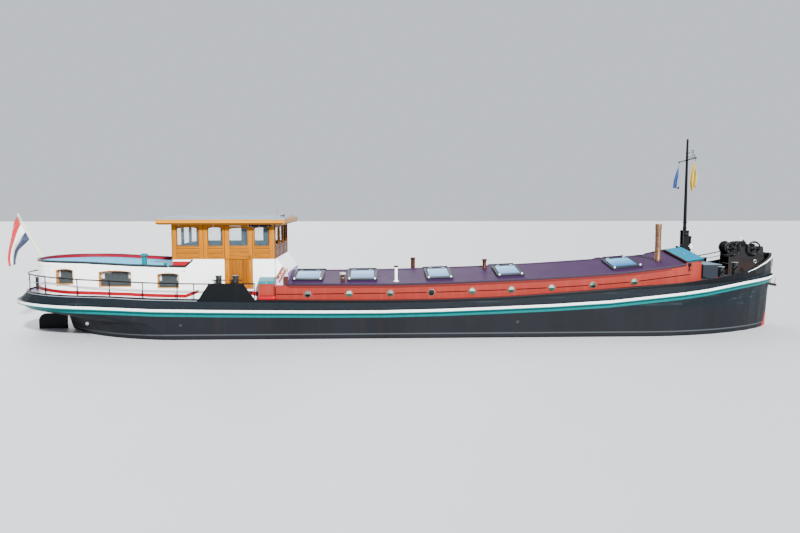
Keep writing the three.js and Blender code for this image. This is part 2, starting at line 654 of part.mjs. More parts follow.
for (const [name, x, y, radius, height, cap] of AFT_VENTS) {
  const z = rimTop(x) - RIM_HIGH;
  const pipe = bar([x, y, z - SUNK / 4], [x, y, z + height - ROOF_THICK], radius);
  const top = bar([x, y, z + height - 80], [x, y, z + height], cap, cap * 0.6);
  node(cabinGroup, name, seat(join(pipe, top), aftRoof), 'teal');
}

// Wooden wheelhouse
function houseSolid() {
  const { aft, fore, half, top, wall, skirtIn, skirtLow } = HOUSE;
  const outer = box([aft, fore], [-half, half], [CABIN.baseTop + SEAT_GAP, top - SEAT_GAP]);
  const skirt = box([aft, CABIN.rise - 2], [-half + skirtIn, half - skirtIn], [skirtLow, CABIN.baseTop + 1]);
  const room = box([aft + wall, fore - wall], [-half + wall, half - wall], [skirtLow - wall, FAR]);
  const side = [-half - wall, -half + 3 * wall];
  const windows = SIDE_WINDOWS.map(([x0, x1]) =>
    prismY(archOutline(x0, x1, WINDOW.bottom, WINDOW.top, WINDOW.rise), ...side));
  const door = box([DOOR.aft, DOOR.fore], side, [DOOR.bottom, DOOR.top + DOOR.gap]);
  const ends = END_WINDOWS.map(([y0, y1]) =>
    prismX(archOutline(y0, y1, WINDOW.bottom, WINDOW.top, WINDOW.rise), aft - wall, fore + wall));
  const shell = join(outer, skirt).subtract(room).subtract(mirrored(join(...windows, door)));
  return seat(shell.subtract(join(...ends)), join(aftRoof, cabin));
}

function houseRoofSolid() {
  const { aft, fore, half, low, edge, crown, bend, drop } = HOUSE_ROOF;
  const section = (x) => [
    [x, -half, low], [x, half, low], [x, half, edge], [x, half * bend, crown - drop],
    [x, 0, crown], [x, -half * bend, crown - drop], [x, -half, edge]];
  return sectionsToSolid([section(aft), section(fore)]);
}

// Glass on three sides of an end of the wheelhouse, open towards the door
function glazing([x0, x1], [openAft, openFore]) {
  const y = HOUSE.half - HOUSE.wall - SEAT_GAP;
  const outer = box([x0, x1], [-y, y], [WINDOW.bottom - GLASS.lap, WINDOW.top + GLASS.lap]);
  const inner = box([x0 - openAft, x1 + openFore], [-y + GLASS.thick, y - GLASS.thick], [0, FAR]);
  return outer.subtract(inner);
}

function doorSolid(side) {
  const { aft, fore, bottom, top, gap, thick, face, knuckle } = DOOR;
  const ys = ordered(side * face, side * (face - thick));
  const leaf = box([aft + gap, fore - gap], ys, [bottom, top]);
  const arch = archOutline(...DOOR_WINDOW.x, WINDOW.bottom, WINDOW.top - DOOR_WINDOW.drop, WINDOW.rise);
  const hole = prismY(arch, ys[0] - gap, ys[1] + gap);
  const pivot = [aft + gap, side * (face - thick)];
  const knuckles = DOOR_HINGES.map((z) => bar([...pivot, z], [...pivot, z + knuckle], gap - SEAT_GAP));
  return join(leaf.subtract(hole), ...knuckles);
}

function doorPane(side) {
  const { face, thick } = DOOR;
  const ys = ordered(side * (face - thick - SEAT_GAP), side * (face - thick - GLASS.thick));
  const [x0, x1] = DOOR_WINDOW.x;
  return box([x0 - GLASS.doorLap, x1 + GLASS.doorLap], ys, [WINDOW.bottom - GLASS.doorLap, WINDOW.top]);
}

function floorSolid() {
  const half = CABIN.half - PLATE - SEAT_GAP;
  return box([FLOOR.aft, FLOOR.fore], [-half, half], [FLOOR.bottom, FLOOR.top]);
}

const inWall = HOUSE.wall + SEAT_GAP;
const houseGroup = new THREE.Group();
afloat.add(houseGroup);
node(houseGroup, 'wheelhouse_floor', floorSolid(), 'wood');
node(houseGroup, 'wheelhouse_walls', houseSolid(), 'wood');
node(houseGroup, 'wheelhouse_roof', houseRoofSolid(), 'fascia');
node(houseGroup, 'glazing_aft',
  glazing([HOUSE.aft + inWall, DOOR.aft - GLASS.lap], [-GLASS.thick, GLASS.past]), 'glass');
node(houseGroup, 'glazing_fore',
  glazing([DOOR.fore + GLASS.lap, HOUSE.fore - inWall], [GLASS.past, -GLASS.thick]), 'glass');
for (const [word, side] of [['starboard', -1], ['port', 1]]) {
  node(houseGroup, `door_${word}`, doorSolid(side), 'wood');
  node(houseGroup, `door_pane_${word}`, doorPane(side), 'glass');
}

// Helm
function consoleSolid() {
  const low = FLOOR.top + SEAT_GAP;
  const [x0, x1] = CONSOLE.x;
  const body = prismY([[x0, low], [x1, low], [x1, CONSOLE.front], [x0, CONSOLE.top]], ...CONSOLE.y);
  return body.subtract(bearing([HELM.x, 0, HELM.z], [x0 + HELM.depth + HELM.ring, 0, HELM.z], HELM.shaft));
}

// Ring of round section around the y axis, or around the x axis
function wheelRing(radius, section, x, y, z, axis) {
  const points = [];
  for (let i = 0; i < 6; i += 1) {
    const a = (i * 2 * Math.PI) / 6;
    points.push(new THREE.Vector2(radius + section * Math.cos(a), section * Math.sin(a)));
  }
  points.push(points[0].clone());
  const geometry = new THREE.LatheGeometry(points, BEARING_SIDES);
  if (axis === 'x') geometry.rotateZ(Math.PI / 2);
  geometry.translate(x, y, z);
  return toSolid(geometry);
}

function helmSolid() {
  const { x, z, radius, ring, spokes, spoke, grip, shaft, depth } = HELM;
  const hub = bar([x - HELM_HUB.aft, 0, z], [x + HELM_HUB.fore, 0, z], HELM_HUB.radius);
  const arms = Array.from({ length: spokes }, (_, i) => {
    const a = ((i + 0.5) * 2 * Math.PI) / spokes;
    const reach = radius + grip;
    return bar([x, 0, z], [x, reach * Math.cos(a), z + reach * Math.sin(a)], spoke, spoke, 6);
  });
  const rod = shaftBar([x, 0, z], [CONSOLE.x[0] + depth, 0, z], shaft);
  return join(wheelRing(radius - ring, ring, x, 0, z, 'x'), hub, rod, ...arms);
}

node(houseGroup, 'helm_console', consoleSolid(), 'wood');
node(houseGroup, 'steering_wheel', helmSolid(), 'wood');

// Hold roof and the sliding lid at its fore end
function roofSection(x, half, eave, ridge, thick) {
  return [
    [x, -half, eave - thick], [x, 0, ridge - thick], [x, half, eave - thick],
    [x, half, eave], [x, 0, ridge], [x, -half, eave]];
}

const roofZ = (x, y) => {
  const [eave, ridge] = [along(HOLD, EAVE, x), along(HOLD, RIDGE, x)];
  return ridge - ((ridge - eave) * Math.abs(y)) / HOLD_ROOF.half;
};

function skylightSolid(xs, side) {
  const { low, high, lift, sunk } = SKYLIGHT;
  const [y0, y1] = ordered(side * low, side * high);
  return sectionsToSolid(xs.map((x) => [
    [x, y0, roofZ(x, y0) - sunk], [x, y1, roofZ(x, y1) - sunk],
    [x, y1, roofZ(x, y1) + lift], [x, y0, roofZ(x, y0) + lift]]));
}

function holdRoofSolid() {
  const { aft, fore, half, thick } = HOLD_ROOF;
  const plate = sectionsToSolid(stations(aft, fore, ROOF_STEPS).map((x) =>
    roofSection(x, half, along(HOLD, EAVE, x), along(HOLD, RIDGE, x), thick)));
  const tops = SKYLIGHTS.flatMap((span) => [skylightSolid(span, -1), skylightSolid(span, 1)]);
  return join(plate, ...tops);
}

const lidZ = (column, x) => along(HOLD, column, LID.fore) + LID.slope * (x - LID.fore) + LID.lift;

function lidSolid() {
  const { aft, fore, half, thick } = LID;
  return sectionsToSolid([aft, fore].map((x) =>
    roofSection(x, half, lidZ(EAVE, x) + thick, lidZ(RIDGE, x) + thick, thick)));
}

// Everything above a pair of slopes, out past the coaming
function aboveSlopes(half, xs, eaveAt, ridgeAt) {
  const wide = COAMING.half + COAMING.over;
  return sectionsToSolid(xs.map((x) => {
    const ridge = ridgeAt(x);
    const low = ridge - ((ridge - eaveAt(x)) * wide) / half;
    return [[x, -wide, low], [x, 0, ridge], [x, wide, low], [x, wide, FAR], [x, -wide, FAR]];
  }));
}

function coamingSolid() {
  const { half, aft, fore, wall, round, corner, over } = COAMING;
  const line = [[aft, half], ...stations(aft, fore - round, ROOF_STEPS).slice(1).map((x) => [x, half])];
  for (let i = 1; i <= corner; i += 1) {
    const a = (Math.PI / 2) * (i / corner);
    line.push([fore - round + round * Math.sin(a), half - round + round * Math.cos(a)]);
  }
  const ring = fullRing(line);
  const inner = inset(ring, wall);
  const low = (x) => sheer(DECK, x) - SUNK;
  const high = (x) => along(HOLD, EAVE, x) + over;
  const rings = [raise(ring, low), raise(ring, high), raise(inner, high), raise(inner, low)];
  const below = HOLD_ROOF.thick + SEAT_GAP;
  const roofCover = aboveSlopes(HOLD_ROOF.half, stations(aft - over, HOLD_ROOF.fore, ROOF_STEPS),
    (x) => along(HOLD, EAVE, x) - below, (x) => along(HOLD, RIDGE, x) - below);
  const lidCover = aboveSlopes(LID.half, [HOLD_ROOF.fore, fore + over],
    (x) => lidZ(EAVE, x) - SEAT_GAP, (x) => lidZ(RIDGE, x) - SEAT_GAP);
  const shell = ringsToSolid(rings, false).subtract(join(roofCover, lidCover));
  return seat(under(under(shell, holdRoof), lid), hull);
}

function apronSolid() {
  const { top, foot, knee, low, starboard, wall, skin, crest } = APRON;
  const outline = [[top, low], [foot, low], [foot, knee], [top, CABIN.baseTop - 2]];
  const block = prismY(outline, starboard, CABIN.half);
  const high = CABIN.baseTop - crest;
  const hollow = prismY([[top - wall, low - wall], [foot - wall, low - wall], [foot - wall, knee - skin],
    [top + 6, high], [top - wall, high]], starboard + wall, CABIN.half - wall);
  return seat(seat(block.subtract(hollow), holdRoof), coaming);
}

// Steps from the side deck up to the hold roof, closed below the treads
function stepsSolid() {
  const { x: [x0, x1], y, low, treads, board, nose } = STEPS;
  const run = (x1 - x0) / treads.length;
  const last = treads[treads.length - 1];
  const cheek = (from) => prismY([[x0, low], [x1, low], [x1, last - board / 2], [x0, treads[0] - 2 * board]],
    from, from + board);
  const boards = treads.map((z, i) =>
    box([x0 + run * i - nose, Math.min(x1, x0 + run * (i + 1) + board / 4)], y, [z - board, z]));
  const risers = treads.map((z, i) => box([x0 + run * i, x0 + run * i + board / 2], y, [low, z]));
  return seat(join(cheek(y[0]), cheek(y[1] - board), ...boards, ...risers), coaming);
}

const holdGroup = new THREE.Group();
afloat.add(holdGroup);
const holdRoof = node(holdGroup, 'hold_roof', holdRoofSolid(), 'plum');
const lid = node(holdGroup, 'fore_hatch_lid', lidSolid(), 'teal');
const coaming = node(holdGroup, 'hold_coaming', coamingSolid(), 'red');
node(holdGroup, 'front_apron', apronSolid(), 'white');
node(holdGroup, 'steps', stepsSolid(), 'wood');

for (const [name, x, y, radius, height, cap] of ROOF_VENTS) {
  const z = roofZ(x, y);
  const pipe = bar([x, y, z - 30], [x, y, z + height - 20], radius);
  const top = bar([x, y, z + height - 50], [x, y, z + height], cap, cap * 0.55);
  node(holdGroup, name, seat(join(pipe, top), holdRoof), name.startsWith('copper') ? 'copper' : 'grey');
}

function flueSolid() {
  const { x, y, radius, low, collar, top, cap, head, sides } = FLUE;
  const foot = bar([x, y, low], [x, y, collar], radius + 30, radius + 10, sides);
  const pipe = bar([x, y, low], [x, y, top - head], radius, radius, sides);
  const crown = bar([x, y, top - head - 10], [x, y, top], cap, cap * 0.8, sides);
  return seat(join(foot, pipe, crown), holdRoof);
}
node(holdGroup, 'copper_flue', flueSolid(), 'copper');

// Mast in its tabernacle, with the pennants on its yard
function tabernacleSolid() {
  const { half, inner, deep, low, top, web } = TABERNACLE;
  const xs = [MAST.x - deep, MAST.x + deep];
  const cheeks = mirrored(box(xs, [inner, half], [low, top]));
  const foot = box(xs, [-half, half], [low, MAST.foot - web]);
  const bore = bearing([MAST.x, -half - deep, MAST.pivot], [MAST.x, half + deep, MAST.pivot], MAST.pin);
  return seat(join(cheeks, foot).subtract(bore), hull);
}

function mastSolid() {
  const { x, pivot, top, foot, radius, tip, pin, pinOut } = MAST;
  const spar = bar([x, 0, foot], [x, 0, top], radius, tip);
  const reach = TABERNACLE.half + pinOut;
  const yard = bar(YARD.port, YARD.starboard, YARD.radius, YARD.radius, YARD.sides);
  const halyards = PENNANTS.map(({ end, outline }) => {
    const [px, py, pz] = YARD[end];
    return bar([px, py, Math.max(...outline.map(([, z]) => z)) + SEAT_GAP], [px, py, pz], HALYARD, HALYARD, 6);
  });
  return join(spar, shaftBar([x, -reach, pivot], [x, reach, pivot], pin), yard, ...halyards);
}

function pennantSolid({ end, outline }) {
  const [px, py] = YARD[end];
  return prismY(outline.map(([x, z]) => [px + x, z]), py - PENNANT_HALF, py + PENNANT_HALF);
}

const mastGroup = new THREE.Group();
afloat.add(mastGroup);
node(mastGroup, 'tabernacle', tabernacleSolid(), 'black');
node(mastGroup, 'mast', mastSolid(), 'black');
for (const pennant of PENNANTS) node(mastGroup, pennant.name, pennantSolid(pennant), pennant.colour);

// Windlass
function windlassFrame() {
  const { x, second, axis, half } = WINDLASS;
  const { aft, fore, topAft, topFore, low, cheek, base, aftLift, foreLift } = FRAME;
  const outline = [[x - aft, low], [second + fore, low],
    [second + topFore, axis + foreLift], [x - topAft, axis + aftLift]];
  const cheeks = mirrored(prismY(outline, half - cheek, half));
  const foot = box([x - aft, second + fore], [-half, half], [low, sheer(DECK, second) + base]);
  const bore = (at) => bearing([at, -2 * half, axis], [at, 2 * half, axis], WINDLASS.shaft);
  return seat(join(cheeks, foot).subtract(bore(x)).subtract(bore(second)), hull);
}

function spokedWheel(x, y, radius, section, spokes) {
  const { axis } = WINDLASS;
  const { spoke, hub, hubHalf } = DRUMS;
  const reach = radius - section;
  const arms = Array.from({ length: spokes }, (_, i) => {
    const a = (i * 2 * Math.PI) / spokes;
    return bar([x, y, axis], [x + reach * Math.cos(a), y, axis + reach * Math.sin(a)], spoke, spoke, 6);
  });
  const boss = bar([x, y - hubHalf, axis], [x, y + hubHalf, axis], hub);
  return join(wheelRing(reach, section, x, y, axis, 'y'), boss, ...arms);
}

function windlassShaft(x, drum, spokes) {
  const { axis, half, wheel, ring, shaft, shaftOut } = WINDLASS;
  const [out, barrel] = [half + shaftOut, half - DRUMS.short];
  const rod = shaftBar([x, -out, axis], [x, out, axis], shaft);
  const turned = bar([x, -barrel, axis], [x, barrel, axis], drum);
  return join(rod, turned, spokedWheel(x, -out + SUNK, wheel, ring, spokes));
}

function anchorSolid() {
  const { shank: radius, top, bottom, crown, reach, lift, tip, fluke } = ANCHOR;
  const x = HULL_LEVELS[STRIPE_LOW].fore[0] + STRAKE_OUT + SEAT_GAP + radius;
  const [cx, cz] = [x + (crown - radius), bottom + lift];
  const shank = bar([x, 0, bottom], [x, 0, top], radius);
  const arms = bar([cx, -reach, cz], [cx, reach, cz], crown);
  const point = bar([cx, reach - lift, cz], [cx, reach + lift, bottom + fluke], crown, tip);
  return join(shank, arms, mirrored(point));
}

const foreGroup = new THREE.Group();
afloat.add(foreGroup);
node(foreGroup, 'windlass_frame', windlassFrame(), 'black');
node(foreGroup, 'windlass_drum', windlassShaft(WINDLASS.x, DRUMS.main, DRUMS.spokes), 'black');
node(foreGroup, 'windlass_wheel', windlassShaft(WINDLASS.second, DRUMS.second, DRUMS.secondSpokes), 'black');
node(foreGroup, 'anchor', anchorSolid(), 'black');
node(foreGroup, 'fore_locker', seat(box(LOCKER.x, LOCKER.y, [LOCKER.low, LOCKER.top]), hull), 'grey');

// Rails
function sternRail(side) {
  const { inset: distance, radius, post: thin, steps, aftY, endIn, endLow } = RAIL_SHAPE;
  const [foreX, foreZ] = RAIL[RAIL.length - 1];
  const line = inset(deckRing, distance).filter(([x, y]) => y * side > 0 && x < foreX);
  line.sort((a, b) => a[0] - b[0] || Math.abs(a[1]) - Math.abs(b[1]));
  const foreY = side * (HULL_LEVELS[DECK_LEVEL].half - distance);
  const path = [[line[0][0], side * aftY], ...line, [foreX, foreY]];
  const rail = tube(path.map(([x, y]) => [x, y, along(RAIL, 1, x)]), radius, steps);
  const posts = RAIL_POSTS.map((x) => post(x, yOn(path, x), sheer(DECK, x) - SUNK, along(RAIL, 1, x), thin));
  const end = post(foreX - endIn, foreY, endLow, foreZ, thin);
  return seat(join(rail, ...posts, end), hull).subtract(bulwark);
}

function bowRail() {
  const { from, to, height, mid, radius, thin, post: width, sunk, steps } = BOW_RAIL;
  const line = inset(deckRing, BULWARK.inset + BULWARK.thick / 2).filter(([, y]) => y > 0);
  line.sort((a, b) => a[0] - b[0]);
  const run = (lift) => stations(from, to, POST_SIDES).map((x) => [x, yOn(line, x), sheer(TOP_EDGE, x) + lift]);
  const posts = BOW_POSTS.map((x) => {
    const edge = sheer(TOP_EDGE, x);
    return post(x, yOn(line, x), edge - sunk, edge + height, width);
  });
  return seat(join(tube(run(height), radius, steps), tube(run(mid), thin, steps, 6), ...posts), bulwark);
}

const railGroup = new THREE.Group();
afloat.add(railGroup);
node(railGroup, 'stern_rail_starboard', sternRail(-1), 'black');
node(railGroup, 'stern_rail_port', sternRail(1), 'black');
node(railGroup, 'bow_rail_port', bowRail(), 'black');

// Flagstaff and ensign
function staffSolid() {
  const { foot, top, radius, taper, sides } = STAFF;
  const socket = main(box(SOCKET.x, SOCKET.y, SOCKET.z).subtract(cabin.translate([-SEAT_GAP, 0, 0])));
  return join(bar(foot, top, radius, radius * taper, sides), socket);
}

function ensignSolid() {
  const [[x0, y, z0], [x1, , z1]] = [STAFF.foot, STAFF.top];
  const slope = (x1 - x0) / (z1 - z0);
  const [high, low] = ENSIGN.hoist.map((z) => {
    const reach = STAFF.radius * (1 - ((1 - STAFF.taper) * (z - z0)) / (z1 - z0)) + SEAT_GAP;
    return [x0 + slope * (z - z0) - reach * Math.hypot(1, slope), z];
  });
  return prismY([high, ...ENSIGN.free, low], y - ENSIGN.half, y + ENSIGN.half);
}

const flagGroup = new THREE.Group();
afloat.add(flagGroup);
node(flagGroup, 'flagstaff', staffSolid(), 'cream');
node(flagGroup, 'ensign', ensignSolid(), 'flagRed');

// Deck box with its lid
const boxSlope = (y) => (BOX.rise * (y - BOX.y[0])) / (BOX.y[1] - BOX.y[0]);

function boxSolid() {
  const { x, y, low, floor, top, wall } = BOX;
  const body = prismX([[y[0], low], [y[1], low], [y[1], top + boxSlope(y[1])], [y[0], top]], ...x);
  const room = box([x[0] + wall, x[1] - wall], [y[0] + wall, y[1] - wall], [floor, FAR]);
  return seat(body.subtract(room), hull);
}

function boxLid() {
  const { x, y, top, lid: high, over, hinge } = BOX;
  const [near, far] = [y[0] - over, y[1] + hinge];
  const corner = (at, height) => [at, height + boxSlope(at)];
  return prismX([corner(near, top + SEAT_GAP), corner(far, top + SEAT_GAP), corner(far, high), corner(near, high)],
    x[0] - over, x[1] + over);
}

node(railGroup, 'deck_box', boxSolid(), 'red');
node(railGroup, 'deck_box_lid', boxLid(), 'teal');

export default afloat;
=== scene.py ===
"""River barge: finishes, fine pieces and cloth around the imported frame.

Metres, +x is the bow, +y is port. Heights in this file are counted from the waterline, and the
draft is added when a shape goes into its mesh.
"""

import math

import bmesh
import bpy
import numpy as np
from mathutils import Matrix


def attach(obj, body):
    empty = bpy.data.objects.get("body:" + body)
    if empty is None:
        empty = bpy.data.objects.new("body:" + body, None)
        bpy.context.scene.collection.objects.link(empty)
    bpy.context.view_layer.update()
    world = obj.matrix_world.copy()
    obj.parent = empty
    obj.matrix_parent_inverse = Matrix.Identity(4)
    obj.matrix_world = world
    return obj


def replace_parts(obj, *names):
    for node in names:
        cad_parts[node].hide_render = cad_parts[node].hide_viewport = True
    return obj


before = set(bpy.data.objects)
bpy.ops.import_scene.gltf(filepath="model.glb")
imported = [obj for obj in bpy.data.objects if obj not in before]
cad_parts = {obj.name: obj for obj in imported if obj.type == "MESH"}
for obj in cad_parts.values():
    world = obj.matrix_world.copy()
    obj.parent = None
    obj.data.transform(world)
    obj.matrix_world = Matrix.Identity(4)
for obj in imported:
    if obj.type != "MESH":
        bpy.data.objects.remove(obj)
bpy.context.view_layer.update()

DRAFT = 0.9
UP = np.array([0.0, 0.0, 1.0])
SIDES = (("starboard", -1), ("port", 1))


# Camera and light

def set_camera():
    """The photograph's view: 4.1 m above the water, abreast of the barge, looking slightly down."""
    data = bpy.data.cameras.new("camera")
    data.sensor_width, data.lens, data.clip_end = 36, 32.6, 500
    camera = bpy.data.objects.new("camera", data)
    camera.location = (-1.15, -24.3, DRAFT + 4.12)
    camera.rotation_euler = (math.radians(90 - 4.93), 0, math.radians(-2.37))
    bpy.context.collection.objects.link(camera)
    bpy.context.scene.camera = camera


def set_light():
    """A bright even sky, one sun from over the starboard bow and a weak fill from behind."""
    world = bpy.data.worlds.new("studio")
    world.use_nodes = True
    sky = world.node_tree.nodes["Background"].inputs
    sky["Color"].default_value, sky["Strength"].default_value = (0.86, 0.92, 1.0, 1), 0.9
    bpy.context.scene.world = world
    for name, strength, angle, turn in (("sun", 11.0, 5, (58, 0, 20)), ("fill", 2.6, 60, (58, 0, 200))):
        data = bpy.data.lights.new(name, "SUN")
        data.energy, data.angle = strength, math.radians(angle)
        lamp = bpy.data.objects.new(name, data)
        lamp.rotation_euler = [math.radians(a) for a in turn]
        bpy.context.collection.objects.link(lamp)


# Finishes

def card(colour, gain=1.0):
    """Linear colour of a paint card given as 0-255 numbers, lightened or darkened by gain."""
    c = np.array(colour) / 255
    linear = np.where(c <= 0.04045, c / 12.92, ((c + 0.055) / 1.055) ** 2.4) * gain
    return (*[float(v) for v in np.clip(linear, 0, 1)], 1.0)


def maths(operation, swapped=False):
    """A method that puts one Math node after a Value."""
    def method(self, other=0):
        a, b = (other, self) if swapped else (self, other)
        return self.finish.node("ShaderNodeMath", {"operation": operation}, {0: a, 1: b})
    return method


class Value:
    """A socket that adds Math nodes when an expression is written with it."""

    __add__ = __radd__ = maths("ADD")
    __mul__ = __rmul__ = maths("MULTIPLY")
    __sub__, __rsub__, __truediv__ = maths("SUBTRACT"), maths("SUBTRACT", True), maths("DIVIDE")
    most, size, to_and_fro = maths("MAXIMUM"), maths("ABSOLUTE"), maths("PINGPONG")

    def __init__(self, finish, socket):
        self.finish, self.socket = finish, socket

    def modulo(self, step):
        """Distance to the nearest whole step."""
        return self.to_and_fro(step / 2)

    def over(self, edge, soft=0.01):
        """0 below the edge, 1 above it, with a soft step between."""
        return self.finish.node("ShaderNodeMapRange", {"interpolation_type": "SMOOTHSTEP"}, {
            "Value": self, "From Min": edge - soft, "From Max": edge + soft})

    def between(self, low, high, soft=0.01):
        """1 between two edges and 0 outside them."""
        return self.over(low, soft) * (1 - self.over(high, soft))


FINISHES = {}


class Finish:
    """One material: a Principled shader, and the nodes that vary it over the surface."""

    def __init__(self, name, slot, rough=0.5, metal=0.0, shine=0.5, **fixed):
        FINISHES[name] = self
        self.slot, self.places = slot, {}
        self.material = bpy.data.materials.new(name)
        self.material.use_nodes = True
        self.nodes, self.links = self.material.node_tree.nodes, self.material.node_tree.links
        self.shader = self.nodes["Principled BSDF"]
        self.set(Roughness=rough, Metallic=metal, Specular_IOR_Level=shine, **fixed)

    def fill(self, socket, value):
        """A value, or a link from another node's socket."""
        if isinstance(value, Value):
            self.links.new(value.socket, socket)
        else:
            socket.default_value = value

    def set(self, **sockets):
        """Inputs of the shader, with _ for a blank."""
        for name, value in sockets.items():
            self.fill(self.shader.inputs[name.replace("_", " ")], value)

    def node(self, kind, settings, sockets, out=0):
        """A new node with its settings and inputs; gives one output."""
        made = self.nodes.new(kind)
        for name, value in settings.items():
            setattr(made, name, value)
        for name, value in sockets.items():
            self.fill(made.inputs[name], value)
        return Value(self, made.outputs[out])

    def place(self, kind, axis=None):
        """Object coordinates, UV or normal, whole or one axis of it."""
        if kind not in self.places:
            self.places[kind] = self.node("ShaderNodeTexCoord", {}, {}, kind)
        if axis is None:
            return self.places[kind]
        if (kind, axis) not in self.places:
            self.places[kind, axis] = self.node("ShaderNodeSeparateXYZ", {}, {0: self.places[kind]}, axis)
        return self.places[kind, axis]

    x = property(lambda self: self.place("Object", 0))
    y = property(lambda self: self.place("Object", 1))
    z = property(lambda self: self.place("Object", 2) - DRAFT)
    facing_up = property(lambda self: self.place("Normal", 2))

    def noise(self, scale, detail=3.0, stretch=(1, 1, 1), kind="Object"):
        """Noise from 0 to 1; a small stretch number draws it out along that axis."""
        where = self.node("ShaderNodeVectorMath", {"operation": "MULTIPLY"}, {0: self.place(kind), 1: stretch})
        return self.node("ShaderNodeTexNoise", {}, {"Vector": where, "Scale": scale, "Detail": detail})

    def patches(self, level, gain, *noise, **kind):
        """Where a noise stands over a level, times a gain."""
        return (self.noise(*noise, **kind) - level).most(0) * gain

    def mix(self, a, b, share):
        """Colour a turned into colour b by a share from 0 to 1. A triple is a paint card."""
        a, b = [card(c) if isinstance(c, tuple) and len(c) == 3 else c for c in (a, b)]
        return self.node("ShaderNodeMix", {"data_type": "RGBA", "clamp_factor": True}, {0: share, 6: a, 7: b}, 2)

    def bump(self, height, depth):
        """Relief of a given depth in metres."""
        self.set(Normal=self.node("ShaderNodeBump", {}, {"Height": height, "Distance": depth}))

    def weathered(self, colour, rough, dirt=None, streaks=0.25, mottle=0.12, peel=0.0008):
        """Brushed paint: slow mottling, dirt run down in streaks, dull patches and brush marks."""
        slow, fine = self.noise(1.1, 3), self.noise(22, 4)
        mottled = self.mix(card(colour, 1 - mottle), card(colour, 1 + mottle), slow * 0.7 + fine * 0.3)
        grime = self.patches(0.5, 4, 6, 4, (1, 1, 0.07)) * slow
        self.set(Base_Color=self.mix(mottled, dirt or card(colour, 0.4), grime * streaks))
        self.set(Roughness=rough + (slow - 0.5) * 0.16 + grime * 0.15)
        self.bump(fine * 0.6 + self.noise(90, 2) * 0.4, peel)


def hull_finish():
    """Anthracite plates with faint welded seams, weathered near the water; painted decks on top."""
    f = Finish("hull_steel", "hull_paint", shine=0.1)
    side = f.mix((13, 15, 18), (26, 28, 33), f.noise(0.8, 4, (1, 1, 0.5)))
    seam = 1 - f.x.modulo(1.85).over(0.006, 0.006)
    # Pale horizontal streaks on the black band above the stripe: painted sheen, with scuffs.
    scuffs_and_sheen = f.patches(0.58, 6, 5, 5, (0.12, 1, 2)) * f.z.over(0.9, 0.05)
    rust = f.patches(0.56, 5, 7, 5, (1, 1, 0.05))
    stem = (f.x - 12.458 + (0.678 - f.z) * 0.66).over(0, 0.012) * (1 - f.z.over(0.68, 0.02))
    for colour, share in (
            ((12, 22, 28), f.z.over(0.9, 0.1) * 0.6), ((34, 37, 42), seam * 0.3), ((50, 62, 68), scuffs_and_sheen * 0.5),
            ((72, 76, 80), f.z.between(0.13, 0.165, 0.012) * 0.7),  # pale line over the water
            ((16, 15, 15), 1 - f.z.over(0.02, 0.05)),  # under water
            ((48, 34, 28), rust * 0.2), ((150, 10, 22), stem)):
        side = f.mix(side, colour, share)
    deck = f.mix((156, 122, 136), (136, 106, 122), f.noise(3))
    for colour, share in (
            ((20, 104, 92), f.x.between(-6.95, -4.5, 0.05)),  # beside the wheelhouse
            ((124, 112, 134), 1 - f.x.over(-10.6, 0.1)),  # at the stern
            ((64, 46, 50), f.x.over(-4.2, 0.1)), ((46, 50, 56), f.x.over(9.6, 0.1)),  # beside the hold, foredeck
            ((52, 44, 40), f.patches(0.5, 1.6, 4, 5))):
        deck = f.mix(deck, colour, share)
    f.set(Base_Color=f.mix(side, deck, f.facing_up.over(0.88, 0.04) * f.z.over(0.9, 0.02)))
    f.set(Roughness=0.42 + f.noise(2.2, 4) * 0.25 + rust * 0.2)
    f.bump(f.noise(30, 4) * 0.3 + seam * 0.9 + f.noise(0.9, 2) * 2.0, 0.003)


def wood_finish(name, pale, deep, grain=(1, 1, 0.06), rough=0.34, gap=None, painted=()):
    """Varnished wood: grain drawn out along one axis, darker year lines and a clear coat.

    Each painted pair is a mask of the finish's own coordinates and the colour that lies there; on the wall wood and on
    the fascia's lower band it is painted shade.
    """
    f = Finish(name, "varnished_wood", shine=0.1, Coat_Weight=0.1, Coat_Roughness=0.34)
    lines = f.noise(34, 6, grain) * 0.65 + f.noise(3.2, 3, grain) * 0.5
    colour = f.mix(deep, pale, (lines - 0.28) * 1.7)
    worn = f.patches(0.55, 2.5, 2.3, 4)
    colour = f.mix(colour, card(deep, 0.45), worn * 0.35)
    relief = lines * 0.5
    if gap is not None:
        axis, pitch = gap
        joint = 1 - f.place("Object", axis).modulo(pitch).over(0.004, 0.003)
        colour = f.mix(colour, card(deep, 0.25), joint * 0.85)
        relief = relief - joint * 2
    for mask, paint in painted:
        colour = f.mix(colour, paint, mask(f))
    f.set(Base_Color=colour, Roughness=rough + lines * 0.14 + worn * 0.2)
    f.bump(relief, 0.0015)


def metal_finish(name, slot, bright, dull, rough, stain):
    """Bare metal: a tarnished base colour, brighter where it is rubbed, stained in patches."""
    f = Finish(name, slot, metal=0.85)
    patina, spots = f.noise(9, 5), f.patches(0.6, 5, 26, 4)
    f.set(Base_Color=f.mix(f.mix(bright, dull, (patina - 0.35) * 2), stain, spots * 0.6))
    f.set(Roughness=rough + patina * 0.22 + spots * 0.2, Metallic=0.9 - spots * 0.7)
    f.bump(f.noise(60, 3), 0.0006)


def glass_finish(name, tint, alpha):
    """Glass that lets part of the light through, with faint dust."""
    f = Finish(name, "window_glass")
    dust = f.noise(5, 5)
    f.set(Base_Color=f.mix(tint, card(tint, 1.5), dust), Roughness=0.04 + dust * 0.06, Alpha=alpha + dust * 0.04)


